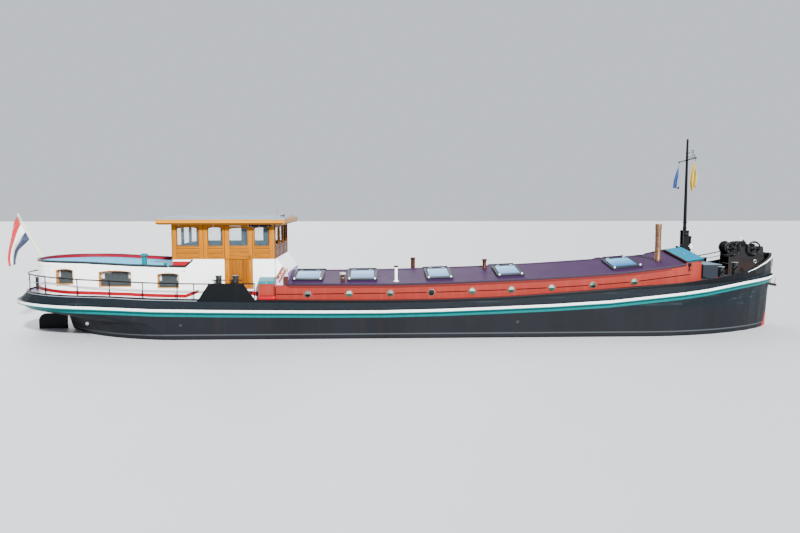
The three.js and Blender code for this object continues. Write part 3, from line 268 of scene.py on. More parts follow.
def cloth_finish(name, slot, colour, stripes=()):
    """Woven cloth on the piece's own UV map: threads both ways, faded patches, sewn stripes."""
    f = Finish(name, slot, Sheen_Weight=0.3, Sheen_Roughness=0.5)
    u, v = f.place("UV", 0), f.place("UV", 1)
    for number, stripe in enumerate(stripes, 1):
        colour = f.mix(colour, stripe, u.over(number / (len(stripes) + 1), 0.004))
    faded = f.mix(colour, (0.5, 0.48, 0.44, 1), f.patches(0.5, 0.4, 6, 4, kind="UV"))
    hem = (u.size().over(0.985, 0.004) + v.over(0.985, 0.004)) * 0.5
    threads = (u * 900).modulo(2) + (v * 1400).modulo(2)
    f.set(Base_Color=f.mix(faded, (0.05, 0.04, 0.04, 1), hem * 0.25), Roughness=0.82 + threads * 0.04)
    f.bump(threads + hem * 2, 0.0006)


def two_tone(name, slot, first, second, mask, rough=0.45, dirt=0.9, shine=0.2):
    """Two colours on one node, parted by a mask of its own coordinates: mostly two paints, but on the apron the second
    is painted shade and on the hand wheels painted highlights.
    """
    f = Finish(name, slot, shine=shine)
    shade, mottle = f.mix(first, second, mask(f)), f.noise(7, 4)
    f.set(Base_Color=f.mix(shade, (0.02, 0.018, 0.018, 1), (mottle - 0.5).most(0) * dirt))
    f.set(Roughness=rough + mottle * 0.2)
    f.bump(f.noise(40, 3), 0.0007)


def sky_glass():
    """Blue roof glass with a painted sky reflection: paler towards its upper edge and in cloudy patches."""
    f = Finish("sky_glass", "window_glass", shine=0.08)
    up, cloud = 1 - (f.y.size() - 0.42) / 0.98, f.noise(1.6, 3, (0.5, 1, 1))
    # Painted reflection: the pane pales towards the ridge and in cloudy patches.
    f.set(Base_Color=f.mix((0, 84, 148), (96, 166, 204), up * 0.9 + (cloud - 0.5) * 0.9))
    f.set(Roughness=0.12 + cloud * 0.08)


def port_glass():
    """Thick porthole glass: its dome is dark green, with a pale painted sky reflection on its upper half."""
    f = Finish("port_glass", "window_glass", shine=0.2)
    cloud = f.noise(0.9, 3)
    dark = f.mix((8, 14, 16), (30, 74, 62), (cloud - 0.4) * 6)
    # The pale on faces that look up is a painted sky reflection.
    f.set(Base_Color=f.mix(dark, (150, 168, 168), f.facing_up.over(0.0, 0.02) * ((cloud - 0.4) * 5 + 0.3)))
    f.set(Roughness=0.1 + cloud * 0.1)


def rim_finish():
    """White outside, away from the middle of the aft cabin, red inside and nearly black on top."""
    f = Finish("rim_paint", "red_paint", shine=0.2)
    outward = ((f.x + 9.3) * f.place("Normal", 0) + f.y * f.place("Normal", 1)).over(0, 0.05)
    shade = f.mix(f.mix((132, 8, 30), WHITE, outward), (14, 26, 30), f.facing_up.over(0.6, 0.1))
    mottle = f.noise(9, 4)
    f.set(Base_Color=f.mix(shade, (0.02, 0.02, 0.02, 1), (mottle - 0.52).most(0)), Roughness=0.34 + mottle * 0.15)
    f.bump(f.noise(40, 3), 0.0006)


WHITE, BLACK, ROOF_BLUE = (252, 253, 253), (9, 11, 14), (104, 126, 146)
HONEY, UMBER, DEEP_TEAL = (206, 142, 16), (110, 52, 0), (2, 52, 60)
# Brushed paints by slot: name, shine, colour, roughness, then dirt's colour, streaks, mottling, peel
PAINTS = {
    "white_paint": [("white_gloss", 0.2, WHITE, 0.32, (170, 160, 148), 0.2, 0.04),
                    ("strake_white", 0.2, (234, 236, 238), 0.4, (150, 142, 134), 0.3, 0.05, 0.002),
                    ("lilac_grey", 0.2, (196, 180, 204), 0.45), ("vent_cream", 0.2, (176, 170, 158), 0.45)],
    "black_paint": [("black_gloss", 0.1, BLACK, 0.4, (32, 31, 30), 0.3, 0.3, 0.001),
                    ("rim_black", 0.2, (14, 26, 30), 0.35)],
    "red_paint": [("coaming_red", 0.2, (128, 38, 28), 0.45, (164, 76, 66), 0.35, 0.14),
                  # The near-black red on the next line is a groove's shade, painted on a bead.
                  ("dark_red", 0.2, (66, 10, 14), 0.5), ("groove_painted_shade", 0.03, (34, 6, 8), 0.6),
                  ("eave_red", 0.05, (116, 40, 38), 0.5), ("signal_red", 0.2, (140, 4, 20), 0.38),
                  ("brown_paint", 0.2, (62, 26, 20), 0.5)],
    "plum_paint": [("roof_plum", 0.05, (50, 28, 60), 0.5, (76, 58, 80), 0.4, 0.16, 0.002),
                   ("awning_purple", 0.2, (32, 16, 34), 0.7), ("eave_lip", 0.2, (30, 20, 30), 0.45)],
    "teal_paint": [("teal_gloss", 0.2, (0, 104, 112), 0.3, DEEP_TEAL, 0.4), ("dark_teal", 0.2, (2, 44, 52), 0.4),
                   ("teal_stripe", 0.1, (0, 92, 92), 0.4, (14, 40, 44), 0.4)],
    "roof_paint": [("frame_grey", 0.1, (13, 22, 32), 0.42), ("roof_grey", 0.05, ROOF_BLUE, 0.5, (76, 88, 100), 0.4)],
    "galvanised_steel": [("pale_grey", 0.2, (122, 128, 134), 0.4), ("blind_slats", 0.2, (88, 96, 98), 0.45),
                         ("locker_grey", 0.2, (92, 112, 128), 0.4)],
    "cream_paint": [("cream_gloss", 0.2, (240, 228, 178), 0.35), ("halyard_pale", 0.2, (120, 120, 116), 0.8)],
}


def on_top(f):
    """1 on faces that look up."""
    return f.facing_up.over(0.5, 0.1)


def make_finishes():
    """Every finish that isn't the floor's, by the names that the pieces use."""
    hull_finish()
    sky_glass()
    port_glass()
    rim_finish()
    for slot, paints in PAINTS.items():
        for name, shine, *look in paints:
            Finish(name, slot, shine=shine).weathered(*look)
    lengthwise = (0.06, 1, 1)
    # Inside the wheelhouse the walls turn dark blue-grey: painted shade.
    wood_finish("wall_wood", (156, 94, 0), UMBER, painted=[
        (lambda f: (1 - f.y.size().over(1.66, 0.004)) * f.x.between(-7.2, -4.16, 0.004), (26, 34, 48))])
    wood_finish("rail_wood", (160, 100, 0), (118, 60, 0), lengthwise)
    wood_finish("board_wood", (150, 90, 4), (90, 42, 0), gap=(0, 0.104))
    # A darker, redder copy of the wall wood with shade painted in, for the end walls and the soffit.
    wood_finish("end_wood_painted_shade", (96, 50, 26), (60, 27, 14))
    wood_finish("floor_wood", (104, 62, 30), UMBER, lengthwise, 0.5, (1, 0.12))
    wood_finish("liner_wood", (222, 164, 84), (176, 116, 50), (0.3, 1, 0.3))
    # The fascia's lowest 5 cm are dark wood as painted shade under its nosing; its top takes the roof cover's blue.
    wood_finish("fascia_wood", HONEY, (160, 92, 10), (0.05, 1, 1), painted=[
        (lambda f: 1 - f.z.over(3.545, 0.004), (84, 46, 12)), (lambda f: f.z.over(3.652, 0.004), ROOF_BLUE)])
    wood_finish("stile_wood", (176, 112, 0), (130, 70, 0))
    wood_finish("step_wood", (150, 92, 74), (96, 48, 38), rough=0.45)
    metal_finish("galvanised", "galvanised_steel", (150, 156, 160), (104, 110, 114), 0.38, (80, 60, 46))
    metal_finish("copper_metal", "copper", (142, 106, 80), (84, 58, 46), 0.34, (56, 46, 40))
    metal_finish("bronze_metal", "bronze", (150, 118, 60), (90, 70, 40), 0.3, (50, 60, 44))
    metal_finish("worn_iron", "black_paint", (44, 42, 40), (34, 27, 24), 0.5, (70, 36, 20))
    metal_finish("pale_bronze", "bronze", (136, 122, 108), (96, 82, 70), 0.34, (60, 50, 40))
    metal_finish("dark_copper", "copper", (88, 50, 38), (52, 30, 26), 0.4, (34, 28, 26))
    glass_finish("clear_glass", (110, 140, 156), 0.08)
    glass_finish("cabin_glass", (70, 80, 84), 0.1)
    cloth_finish("ensign_cloth", "flag_cloth_red", (172, 8, 22), [(240, 238, 234), (14, 38, 66)])
    cloth_finish("blue_cloth", "flag_cloth_blue", (0, 60, 136))
    cloth_finish("yellow_cloth", "flag_cloth_yellow", (178, 148, 0))
    cloth_finish("curtain_cloth", "flag_cloth_yellow", (240, 240, 236))
    two_tone("strake_paint", "white_paint", (236, 238, 240), (16, 20, 24), on_top, 0.4, 0.3)
    two_tone("locker_paint", "galvanised_steel", (26, 34, 44), (150, 168, 184), on_top)
    two_tone("cabin_roof", "turquoise_paint", WHITE, (0, 152, 194), on_top, 0.4, 0.3, 0.04)
    two_tone("roof_slab", "varnished_wood", HONEY, ROOF_BLUE, on_top)
    two_tone("bollard_iron", "black_paint", BLACK, (90, 94, 96), lambda f: f.patches(0.52, 4, 24, 4))
    two_tone("windlass_iron", "black_paint", (9, 10, 13), (34, 20, 16),
             lambda f: (1 - f.z.over(2.2, 0.25)) * (f.noise(6, 4) * 1.6).over(0.6, 0.3))
    # Pale patches on the starboard faces of the hand rims are painted highlights on the black iron.
    two_tone("hand_wheel_iron", "black_paint", (8, 9, 12), (90, 98, 102),
             lambda f: (1 - f.y.over(-0.38, 0.01)) * f.noise(14, 3).over(0.62, 0.06))
    two_tone("anchor_iron", "black_paint", (20, 20, 22), (196, 192, 186),
             lambda f: f.z.over(1.42, 0.03) * f.noise(9, 3).over(0.34, 0.1))
    two_tone("hatch_lid", "teal_paint", (0, 112, 140), DEEP_TEAL,
             lambda f: 1 - f.facing_up.over(0.2, 0.1), 0.4, 0.3, 0.03)
    # The white apron's fore-facing faces are lilac: painted shade.
    two_tone("apron_white_painted_shade", "white_paint", WHITE, (150, 136, 168),
             lambda f: f.place("Normal", 0).over(0.9, 0.05) * f.x.over(-3.76, 0.005), 0.35, 0.2)


# Shapes: a shell is (points, corners of all its faces in a row, corners of each face)

SUNK = 0.004  # how far the foot of a trim piece stands inside the wall that carries it


def skin(rings, wrap=False):
    """Shell through rings of equal count, given as rows x round x 3: closed in a loop or by end caps."""
    rings = np.asarray(rings, float)
    rows, count = rings.shape[:2]
    grid = np.arange(rows * count).reshape(rows, count)
    low, high = (grid, np.roll(grid, -1, 0)) if wrap else (grid[:-1], grid[1:])
    quads = np.stack([low, np.roll(low, -1, 1), np.roll(high, -1, 1), high], -1).reshape(-1, 4)
    corners, sizes = quads.ravel(), np.full(len(quads), 4)
    if not wrap:
        corners = np.concatenate([corners, grid[0][::-1], grid[-1]])
        sizes = np.concatenate([sizes, [count, count]])
    return rings.reshape(-1, 3), corners, sizes


def joined(shells):
    """Shells put into one."""
    starts = np.cumsum([0] + [len(s[0]) for s in shells[:-1]])
    return (np.concatenate([s[0] for s in shells]),
            np.concatenate([s[1] + start for s, start in zip(shells, starts)]),
            np.concatenate([s[2] for s in shells]))


def moved(shell, offset, mirror=1):
    """The shell moved, after its y is mirrored where mirror is -1."""
    return shell[0] * [1, mirror, 1] + np.asarray(offset, float), *shell[1:]


def repeated(shell, offsets, mirror=1):
    """Copies of a shell at some places."""
    return joined([moved(shell, offset, mirror) for offset in offsets])


def finished(name, mesh, finish, body):
    """Object of a mesh, with its finish and its body."""
    finish = FINISHES[finish]
    mesh.materials.append(finish.material)
    obj = bpy.data.objects.new(name, mesh)
    bpy.context.collection.objects.link(obj)
    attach(obj, body)
    finish.slot
    return obj


def piece(name, shells, finish, body="root", crease=32):
    """One object from its shells: faces turned outwards, smooth where they meet under the crease angle."""
    points, corners, sizes = shells if isinstance(shells, tuple) else joined(shells)
    mesh = bpy.data.meshes.new(name)
    mesh.vertices.add(len(points))
    mesh.vertices.foreach_set("co", (points + DRAFT * UP).ravel())
    mesh.loops.add(len(corners))
    mesh.loops.foreach_set("vertex_index", corners.astype(np.int32))
    mesh.polygons.add(len(sizes))
    mesh.polygons.foreach_set("loop_start", np.concatenate([[0], np.cumsum(sizes)[:-1]]).astype(np.int32))
    mesh.update(calc_edges=True)
    work = bmesh.new()
    work.from_mesh(mesh)
    bmesh.ops.recalc_face_normals(work, faces=work.faces)
    work.to_mesh(mesh)
    work.free()
    mesh.polygons.foreach_set("use_smooth", np.ones(len(sizes), bool))
    mesh.set_sharp_from_angle(angle=math.radians(crease))
    return finished(name, mesh, finish, body)


def pair(name, shells, finish):
    """One object from shells on the starboard side and their mirror images on the port side."""
    shell = shells if isinstance(shells, tuple) else joined(shells)
    return piece(name, [shell, moved(shell, (0, 0, 0), -1)], finish)


def xyz(x, y, z):
    """Rows of points from coordinates, of which some may be single numbers."""
    return np.stack(np.broadcast_arrays(x, y, z), -1).astype(float)


def circle(radius, count=16):
    """Points evenly round a circle."""
    turn = np.arange(count) * 2 * math.pi / count
    return np.stack([radius * np.cos(turn), radius * np.sin(turn)], 1)


def rounded(width, height, radius, steps=3):
    """Rectangle about its centre with quarter-circle corners."""
    turn = np.linspace(0, math.pi / 2, steps + 1)
    corner = np.stack([np.cos(turn), np.sin(turn)], 1) * radius
    inner = np.array([width / 2 - radius, height / 2 - radius])
    quarters = ((1, 1, 1, 0), (-1, 1, 0, 1), (-1, -1, -1, 0), (1, -1, 0, -1))
    return np.concatenate([corner @ np.array([[c, s], [-s, c]]) + inner * [sx, sy] for sx, sy, c, s in quarters])


def half_round(width, height, steps=8):
    """Flat below, and half an ellipse above."""
    turn = np.linspace(0, math.pi, steps + 1)
    return np.stack([width / 2 * np.cos(turn), height * np.sin(turn)], 1)


def unit(vectors):
    """Vectors brought to length 1."""
    return vectors / np.linalg.norm(vectors, axis=-1, keepdims=True)


def carried(profile, path, up=UP):
    """Profile carried along a path: path + u across + v up, squared to the path's own direction."""
    path, profile = np.asarray(path, float), np.asarray(profile, float)
    ahead = unit(np.gradient(path, axis=0))
    across = unit(np.cross(ahead, up))
    lift = np.cross(across, ahead)
    profile = np.broadcast_to(profile, (len(path), *profile.shape[-2:]))
    return skin(path[:, None] + profile[..., :1] * across[:, None] + profile[..., 1:] * lift[:, None])


def rod(a, b, radius, count=10, end=None):
    """Round rod between two points, its ends slightly rounded over."""
    a, b = np.asarray(a, float), np.asarray(b, float)
    way = unit(b - a)
    end = radius if end is None else end
    turn = min(radius, end) * 0.3
    path = np.array([a, a + way * turn, b - way * turn, b])
    sizes = np.array([radius * 0.75, radius, end, end * 0.75])
    up = UP if abs(way[2]) < 0.9 else np.array([1.0, 0, 0])
    return carried(circle(1, count)[None] * sizes[:, None, None], path, up)


def smooth_path(points, count):
    """Catmull-Rom curve through the points, sampled evenly in its parameter."""
    p = np.asarray(points, float)
    p = np.concatenate([[2 * p[0] - p[1]], p, [2 * p[-1] - p[-2]]])
    where = np.linspace(0, len(p) - 3 - 1e-9, count)
    i, t = where.astype(int), (where % 1)[:, None]
    a, b, c, d = p[i], p[i + 1], p[i + 2], p[i + 3]
    return 0.5 * (2 * b + (c - a) * t + (2 * a - 5 * b + 4 * c - d) * t ** 2 + (3 * b - a - 3 * c + d) * t ** 3)


def lengths(path):
    """Length run from the path's start to each of its points."""
    return np.concatenate([[0], np.cumsum(np.linalg.norm(np.diff(path, axis=0), axis=1))])


def sampled(path, measure, at):
    """Points of a path where a measure along it, its length or its x, has some values."""
    return np.stack([np.interp(at, measure, path[:, k]) for k in range(3)], -1)


def turned(rows, centre=(0, 0, 0), axis=2, count=28, wrap=False):
    """Rows of (radius, height) turned about an axis through the centre."""
    rows = np.asarray(rows, float)
    ring = circle(1, count)
    rings = np.zeros((len(rows), count, 3))
    first, second = [(1, 2), (2, 0), (0, 1)][axis]
    rings[..., first] = rows[:, :1] * ring[:, 0]
    rings[..., second] = rows[:, :1] * ring[:, 1]
    rings[..., axis] = rows[:, 1:]
    return skin(rings + np.asarray(centre, float), wrap)


def ball(centre, radius, count=16, squash=1.0):
    """A half circle of (cosine, sine) rows turned about the upright axis, flattened by squash."""
    turn = np.linspace(-math.pi / 2, math.pi / 2, count // 2 + 1)
    return turned(np.stack([np.cos(turn).clip(0.02) * radius, np.sin(turn) * radius * squash], 1), centre, 2, count)


def doughnut(centre, radius, section, axis=1, count=28, sides=10):
    """Ring of round section about an axis."""
    return turned(circle(section, sides) + [radius, 0], centre, axis, count, wrap=True)


def offset_outline(outline, distance):
    """Closed plane outline moved outwards by a distance, with mitred corners."""
    outline = np.asarray(outline, float)
    edges = outline - np.roll(outline, 1, 0), np.roll(outline, -1, 0) - outline
    before, after = [unit(np.stack([e[:, 1], -e[:, 0]], 1)) for e in edges]
    x, y = outline.T
    turn = np.sign(np.sum(x * np.roll(y, -1) - np.roll(x, -1) * y))
    mitre = (before + after) / (1 + np.sum(before * after, 1, keepdims=True)).clip(0.3)
    return outline + mitre * distance * turn


def moulded(outline, rows, place, wrap=True):
    """Frame with an opening: rows of (outward offset, depth) run around an outline.

    The place puts (u, v, depth) in space.
    """
    rings = [xyz(*offset_outline(outline, d).T, depth) for d, depth in rows]
    return skin(place(np.stack(rings)), wrap)


def plate(outline, rows, place):
    """Plate: rows like those of a frame, closed at its first and last row."""
    return moulded(outline, rows, place, wrap=False)


def on_side(side):
    """(x, z, distance from the centre line) on one side of the barge."""
    return lambda p: xyz(p[..., 0], side * p[..., 2], p[..., 1])


def on_end(face=0, sign=1):
    """(y, z, distance forward or aft of the face) on a wall across the barge."""
    return lambda p: xyz(face + sign * p[..., 2], p[..., 0], p[..., 1])


def arch(u, v, rise=0.0, steps=8):
    """Window outline: straight sides and sill, and a head that rises to the middle in a parabola."""
    (u0, u1), (v0, v1) = u, v
    t = np.linspace(0, 1, steps + 1)
    head = np.stack([u1 + (u0 - u1) * t, v1 - rise + 4 * rise * t * (1 - t)], 1)
    return np.concatenate([[[u0, v0], [u1, v0]], head if rise else head[[0, -1]]])


def inset(span, edge):
    """A span from low to high, shortened by an edge at both ends."""
    return span[0] + edge, span[1] - edge


def slab(x, y, z, edge=0.004):
    """Board with eased edges between two corners."""
    rows = [(0, z[0]), (edge, z[0] + edge), (edge, z[1] - edge), (0, z[1])]
    return plate(arch(inset(x, edge), inset(y, edge)), rows, lambda p: p)


# The hull's lines, as the solids have them. Sheer, columns: x, top edge, deck, white stripe

SHEER = np.array([
    [-12.6, 1.39, 1.34, 1.06], [-10.76, 1.37, 1.32, 1.025], [-9.3, 1.34, 1.295, 0.985],
    [-7.79, 1.265, 1.215, 0.91], [-3.89, 1.185, 1.135, 0.85], [-0.24, 1.165, 1.115, 0.84],
    [2.84, 1.24, 1.19, 0.93], [5.95, 1.45, 1.395, 1.075], [7.54, 1.58, 1.515, 1.23],
    [9.18, 1.72, 1.61, 1.395], [10.7, 1.925, 1.7, 1.59], [12.6, 2.48, 1.95, 1.72]])
TOP_EDGE, DECK, STRIPE = 1, 2, 3
# Levels: offset from the stripe or the deck, half beam, then for the stern and the bow the end's x,
# the taper's length, its two powers and the post's half width
BELOW_STRIPE = (STRIPE, -0.2, 2.31, (-12.33, 3.0, 2, 1.9, 0.09), (12.53, 4.6, 1.8, 1.55, 0.05))
STRIPE_FOOT = (STRIPE, -0.06, 2.31, (-12.5, 2.95, 2, 2, 0.1), (12.54, 4.5, 1.8, 1.6, 0.05))
DECK_EDGE = (DECK, 0.0, 2.29, (-12.29, 2.9, 2, 2, 0.1), (12.56, 4.5, 1.8, 1.6, 0.05))
END_STEPS, MID_STEPS = 9, 10
# The raised rim round the aft cabin's roof, columns: x, top
RIM_TOP = np.array([[-12, 2.385], [-9.93, 2.35], [-8.83, 2.28], [-7.25, 2.215], [-6.62, 2.2]])
# Hold, columns: x, eave, ridge
HOLD = np.array([[-4.1, 1.64, 1.9], [-2.33, 1.635, 1.915], [-0.14, 1.635, 1.945], [3.24, 1.745, 2.06],
                 [6.6, 1.94, 2.26], [8.22, 2.125, 2.405], [9.48, 2.32, 2.59]])
EAVE, RIDGE = 1, 2
ROOF_HALF, COAMING_HALF, CABIN_HALF, HOUSE_HALF = 1.83, 1.8, 1.75, 1.7


def along(rows, column, x):
    """Smooth height from a table: cubic pieces through its rows."""
    xs, zs = rows[:, 0], rows[:, column]
    x = np.clip(np.asarray(x, float), xs[0], xs[-1])
    slope = np.empty(len(xs))
    slope[1:-1] = (zs[2:] - zs[:-2]) / (xs[2:] - xs[:-2])
    slope[[0, -1]] = (zs[1] - zs[0]) / (xs[1] - xs[0]), (zs[-1] - zs[-2]) / (xs[-1] - xs[-2])
    i = (np.searchsorted(xs, x, side="right") - 1).clip(0, len(xs) - 2)
    w = xs[i + 1] - xs[i]
    t = (x - xs[i]) / w
    ease = t * t * (3 - 2 * t)
    return zs[i] + (zs[i + 1] - zs[i]) * ease + w * t * (1 - t) * ((1 - t) * slope[i] - t * slope[i + 1])


def taper(end, length, wide, fine, post, half, turn):
    """(x, half width) from a post to the full half beam, a power of sine along and of cosine across."""
    return np.stack([end + length * (1 - np.sin(turn) ** (2 / wide)),
                     post + (half - post) * np.cos(turn).clip(0) ** (2 / fine)], 1)


def half_outline(level):
    """Half plan of the hull at a level: power-law tapers at the ends, straight amidships."""
    _, _, half, stern, (bow_x, bow_length, *bow) = level
    turn = np.linspace(0, math.pi / 2, END_STEPS + 1)
    middle = np.linspace(stern[0] + stern[1], bow_x - bow_length, MID_STEPS + 1)[1:-1]
    return np.concatenate([taper(*stern, half, turn[::-1]), np.stack([middle, np.full(len(middle), half)], 1),
                           taper(bow_x, -bow_length, *bow, half, turn)])


def hull_line(level):
    """The level's half outline in space, starboard side, from the stern to the bow."""
    x, y = half_outline(level).T
    return xyz(x, -y, along(SHEER, level[0], x) + level[1])


def between_levels(low, high, share):
    """Line on the hull a share of the way from one level to another."""
    return hull_line(low) * (1 - share) + hull_line(high) * share


def band(low, high, thick):
    """Strip between two lines on the starboard side, laid on the surface and thick metres proud."""
    out = unit(np.cross(np.gradient(low, axis=0), UP))
    return skin(np.stack([low - out * SUNK, low + out * thick, high + out * thick, high - out * SUNK], 1))


def deck_line(inboard, lift, xs, column=TOP_EDGE):
    """Line along the deck's edge at some x, a distance inboard and a lift over a column of the sheer."""
    y = np.interp(xs, *half_outline(DECK_EDGE).T)
    return xyz(xs, -(y - inboard * np.hypot(1, np.gradient(y, xs))), along(SHEER, column, xs) + lift)


def roof_z(x, y):
    """Height of the hold's roof: two flat slopes from the ridge to the eaves."""
    eave, ridge = along(HOLD, EAVE, x), along(HOLD, RIDGE, x)
    return ridge - (ridge - eave) * np.abs(y) / ROOF_HALF


def on_roof(p):
    """(x, distance from the centre line, lift) on the starboard half of the hold's roof."""
    return xyz(p[..., 0], -p[..., 1], roof_z(p[..., 0], p[..., 1]) + p[..., 2])


def cabin_plan(grow, stops):
    """Half plan of the aft cabin from its rounded stern end: (x, y) rows, grown outwards."""
    aft, run, half, tip, power = -11.84 - grow, 1.9, CABIN_HALF + grow, 0.04, 0.8
    a = (math.pi / 2) * (1 - np.arange(END_STEPS + 1) / END_STEPS)
    line = np.stack([aft + run * (1 - np.sin(a) ** power), tip + (half - tip) * np.cos(a).clip(0) ** power], 1)
    return np.concatenate([line, [[x, half] for x in stops]])


# Hull: stripes, post and top edges

def hull_trim():
    """Painted bands between the hull's own lines, and rounded caps on the bulwark and strake."""
    teal = [between_levels(BELOW_STRIPE, STRIPE_FOOT, share) for share in (0.14, 0.99)]
    pair("teal_stripe", band(*teal, 0.004), "teal_stripe")
    on_strake = [hull_line((STRIPE, lift, *STRIPE_FOOT[2:])) for lift in (-0.0535, -0.022)]
    pair("teal_strake_edge", band(*on_strake, 0.0925), "teal_stripe")
    xs = np.concatenate([np.linspace(-12.2, -9.4, 22), np.linspace(-9.2, 8.4, 40), np.linspace(8.6, 12.5, 26)])
    pair("bulwark_cap", carried(half_round(0.062, 0.02), deck_line(0.0285, -0.003, xs)), "black_gloss")
    for name, x0, x1, finish in (("aft", -12.2, -6.4, "pale_grey"), ("fore", -6.38, 12.4, "black_gloss")):
        foot = deck_line(-0.004, 0.012, np.linspace(x0, x1, 60), DECK)
        pair(f"deck_edge_{name}", carried(rounded(0.012, 0.022, 0.005), foot), finish)
    growing = np.linspace(0.15, 1, 24)[:, None, None]
    bow = deck_line(-0.012, -0.06, np.linspace(11.0, 12.5, 24))
    pair("bow_white_flash", carried(rounded(0.016, 0.07, 0.006)[None] * growing, bow), "strake_white")
    post = between_levels(BELOW_STRIPE, STRIPE_FOOT, 0.3)[0, 0]
    piece("stern_post", slab((post - 0.02, post + 0.12), (-0.095, 0.095), (0.75, 0.985)), "pale_grey")
    outlet = turned([(0.045, -0.014), (0.048, 0), (0.034, 0.004), (0.03, -0.01), (0.004, -0.011)], axis=1, count=20)
    spots = [(-9.7, -2.27, 0.52), (-6.9, -2.302, 0.47), (3.4, -2.302, 0.5)]
    piece("hull_outlets", repeated(outlet, spots, -1), "pale_grey")


# Aft cabin: windows as (x), (z)

CABIN_WINDOWS = (((-10.79, -10.27), (1.66, 2.14)), ((-9.5, -8.51), (1.57, 2.08)), ((-7.72, -7.06), (1.52, 2.0)))
SLAT_PITCH, CURTAIN_Y = 0.026, 1.593
CURTAIN_ROD, CURTAIN_DROP, CURTAIN_SHARE, GATHERED = 0.062, 0.2, 0.1, 0.55


def cabin_windows():
    """Arched openings with wooden linings; glass, slatted blinds and short curtains behind."""
    frames, panes, slats, rods = [], [], [], []
    section = [[-0.014, 0.006], [0, 0.009], [0.014, 0.004], [0.014, 0.002], [0, 0.006], [-0.014, 0.003]]
    for xs, zs in CABIN_WINDOWS:
        (x0, x1), (z0, z1), hole = xs, zs, arch(xs, zs, 0.04)
        frames.append(moulded(hole, [(-0.001, 1.752), (0.002, 1.756), (-0.006, 1.758), (-0.014, 1.754), (-0.016, 1.58),
                                     (-0.001, 1.58)], on_side(-1)))
        panes.append(plate(hole, [(-0.012, 1.610), (-0.012, 1.616)], on_side(-1)))
        count = int((z1 - z0 - 0.09) / SLAT_PITCH)
        slat = carried(section, [(x0 + 0.02, -1.56, z0 + 0.04), (x1 - 0.02, -1.56, z0 + 0.04)])
        slats.append(repeated(slat, np.outer(np.arange(count) * SLAT_PITCH, UP)))
        head = z0 + SLAT_PITCH * count
        slats.append(slab(inset(xs, 0.018), (-1.585, -1.535), (head + 0.03, head + 0.055)))
        rods.append(rod((x0 + 0.01, -CURTAIN_Y, z1 - CURTAIN_ROD), (x1 - 0.01, -CURTAIN_Y, z1 - CURTAIN_ROD), 0.005))
    for word, shells, finish in (("linings", frames, "liner_wood"), ("panes", panes, "cabin_glass"),
                                 ("blinds", slats, "blind_slats"), ("curtain_rods", rods, "bronze_metal")):
        pair(f"cabin_{word}", shells, finish)
    for word, side in SIDES:
        for number, (xs, zs) in enumerate(CABIN_WINDOWS):
            wide = (xs[1] - xs[0]) * CURTAIN_SHARE
            for end, start in (("aft", xs[0] + 0.03), ("fore", xs[1] - 0.03 - wide)):
                curtain(f"curtain_{word}_{number}_{end}", start, start + wide, zs[1] - CURTAIN_ROD, side)


def lip_and_edge(name, lip, size, edge):
    """A rolled black lip, half of an ellipse carried along a line, and a thin strip below it."""
    pair(f"{name}_lip", carried(half_round(*size), lip), "rim_black")
    pair(f"{name}_edge", carried(rounded(0.01, 0.044, 0.004), edge), "rim_black")


def cabin_trim():
    """Red foot band that climbs to the wheelhouse, lips on the roof's rim and the sunk sill, drain plugs."""
    x, y = cabin_plan(0.0005, [-8.6, -8.0, -7.4, -6.86, -6.66, -6.52, -6.46]).T
    base = along(SHEER, DECK, x) + 0.034 + 0.1 * ((-10.2 - x) / 1.6).clip(0, 1) ** 1.3
    base = base + ((x + 6.86) / 0.4).clip(0, 1) * 0.17
    pair("cabin_foot_band", band(xyz(x, -y, base), xyz(x, -y, base + 0.105), 0.005), "signal_red")
    x, y = cabin_plan(0.012, np.linspace(-8.6, -7.38, 5)).T
    rim = xyz(x, -y, along(RIM_TOP, 1, x) - 0.006)
    lip_and_edge("rim", rim + [0, 0.024, 0], (0.064, 0.022), rim - [0, 0.002, 0.026])
    pair("cabin_foot_wedge", plate([[-4.99, 1.352], [-4.648, 1.25], [-4.63, 1.409], [-4.99, 1.427]],
                                   [(0, 1.746), (0, 1.754), (-0.003, 1.756)], on_side(-1)), "signal_red")
    sill = xyz([-7.37, -6.86, -6.62], -1.722, np.array([2.221, 2.208, 2.422]) - 0.004)
    sill = np.concatenate([np.linspace(sill[0], sill[1], 8), np.linspace(sill[1], sill[2], 6)[1:]])
    lip_and_edge("sill", sill, (0.07, 0.018), sill - [0, 0.03, 0.022])
    plug = turned([(0.02, 0), (0.02, 0.008), (0.014, 0.014), (0.002, 0.015)], axis=1, count=16)
    pair("cabin_drain_plugs", moved(plug, (-6.893, -1.752, 2.046), -1), "signal_red")


def roof_vents():
    """Turned ventilators, each with a flange, a neck and a hooded cap, in place of the plain solids."""
    big = [(0.105, 0), (0.105, 0.012), (0.078, 0.02), (0.075, 0.3), (0.062, 0.31), (0.062, 0.325), (0.118, 0.33),
           (0.122, 0.35), (0.118, 0.375), (0.09, 0.405), (0.04, 0.418), (0.004, 0.42)]
    small = [(0.065, 0), (0.065, 0.01), (0.047, 0.016), (0.045, 0.11), (0.062, 0.118), (0.064, 0.135), (0.05, 0.155),
             (0.02, 0.168), (0.003, 0.17)]
    for name, x, y, rows in (("aft_vent", -8.25, -1.25, big), ("aft_small_vent", -7.56, -1.4, small)):
        camber = 0.022 * (1 - abs(y) / 1.76) / 0.3
        spot = (x, y, along(RIM_TOP, 1, x) - 0.11 - 0.002 + camber)
        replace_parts(piece(f"{name}_turned", turned(rows, spot), "teal_gloss"), name)


# Wheelhouse

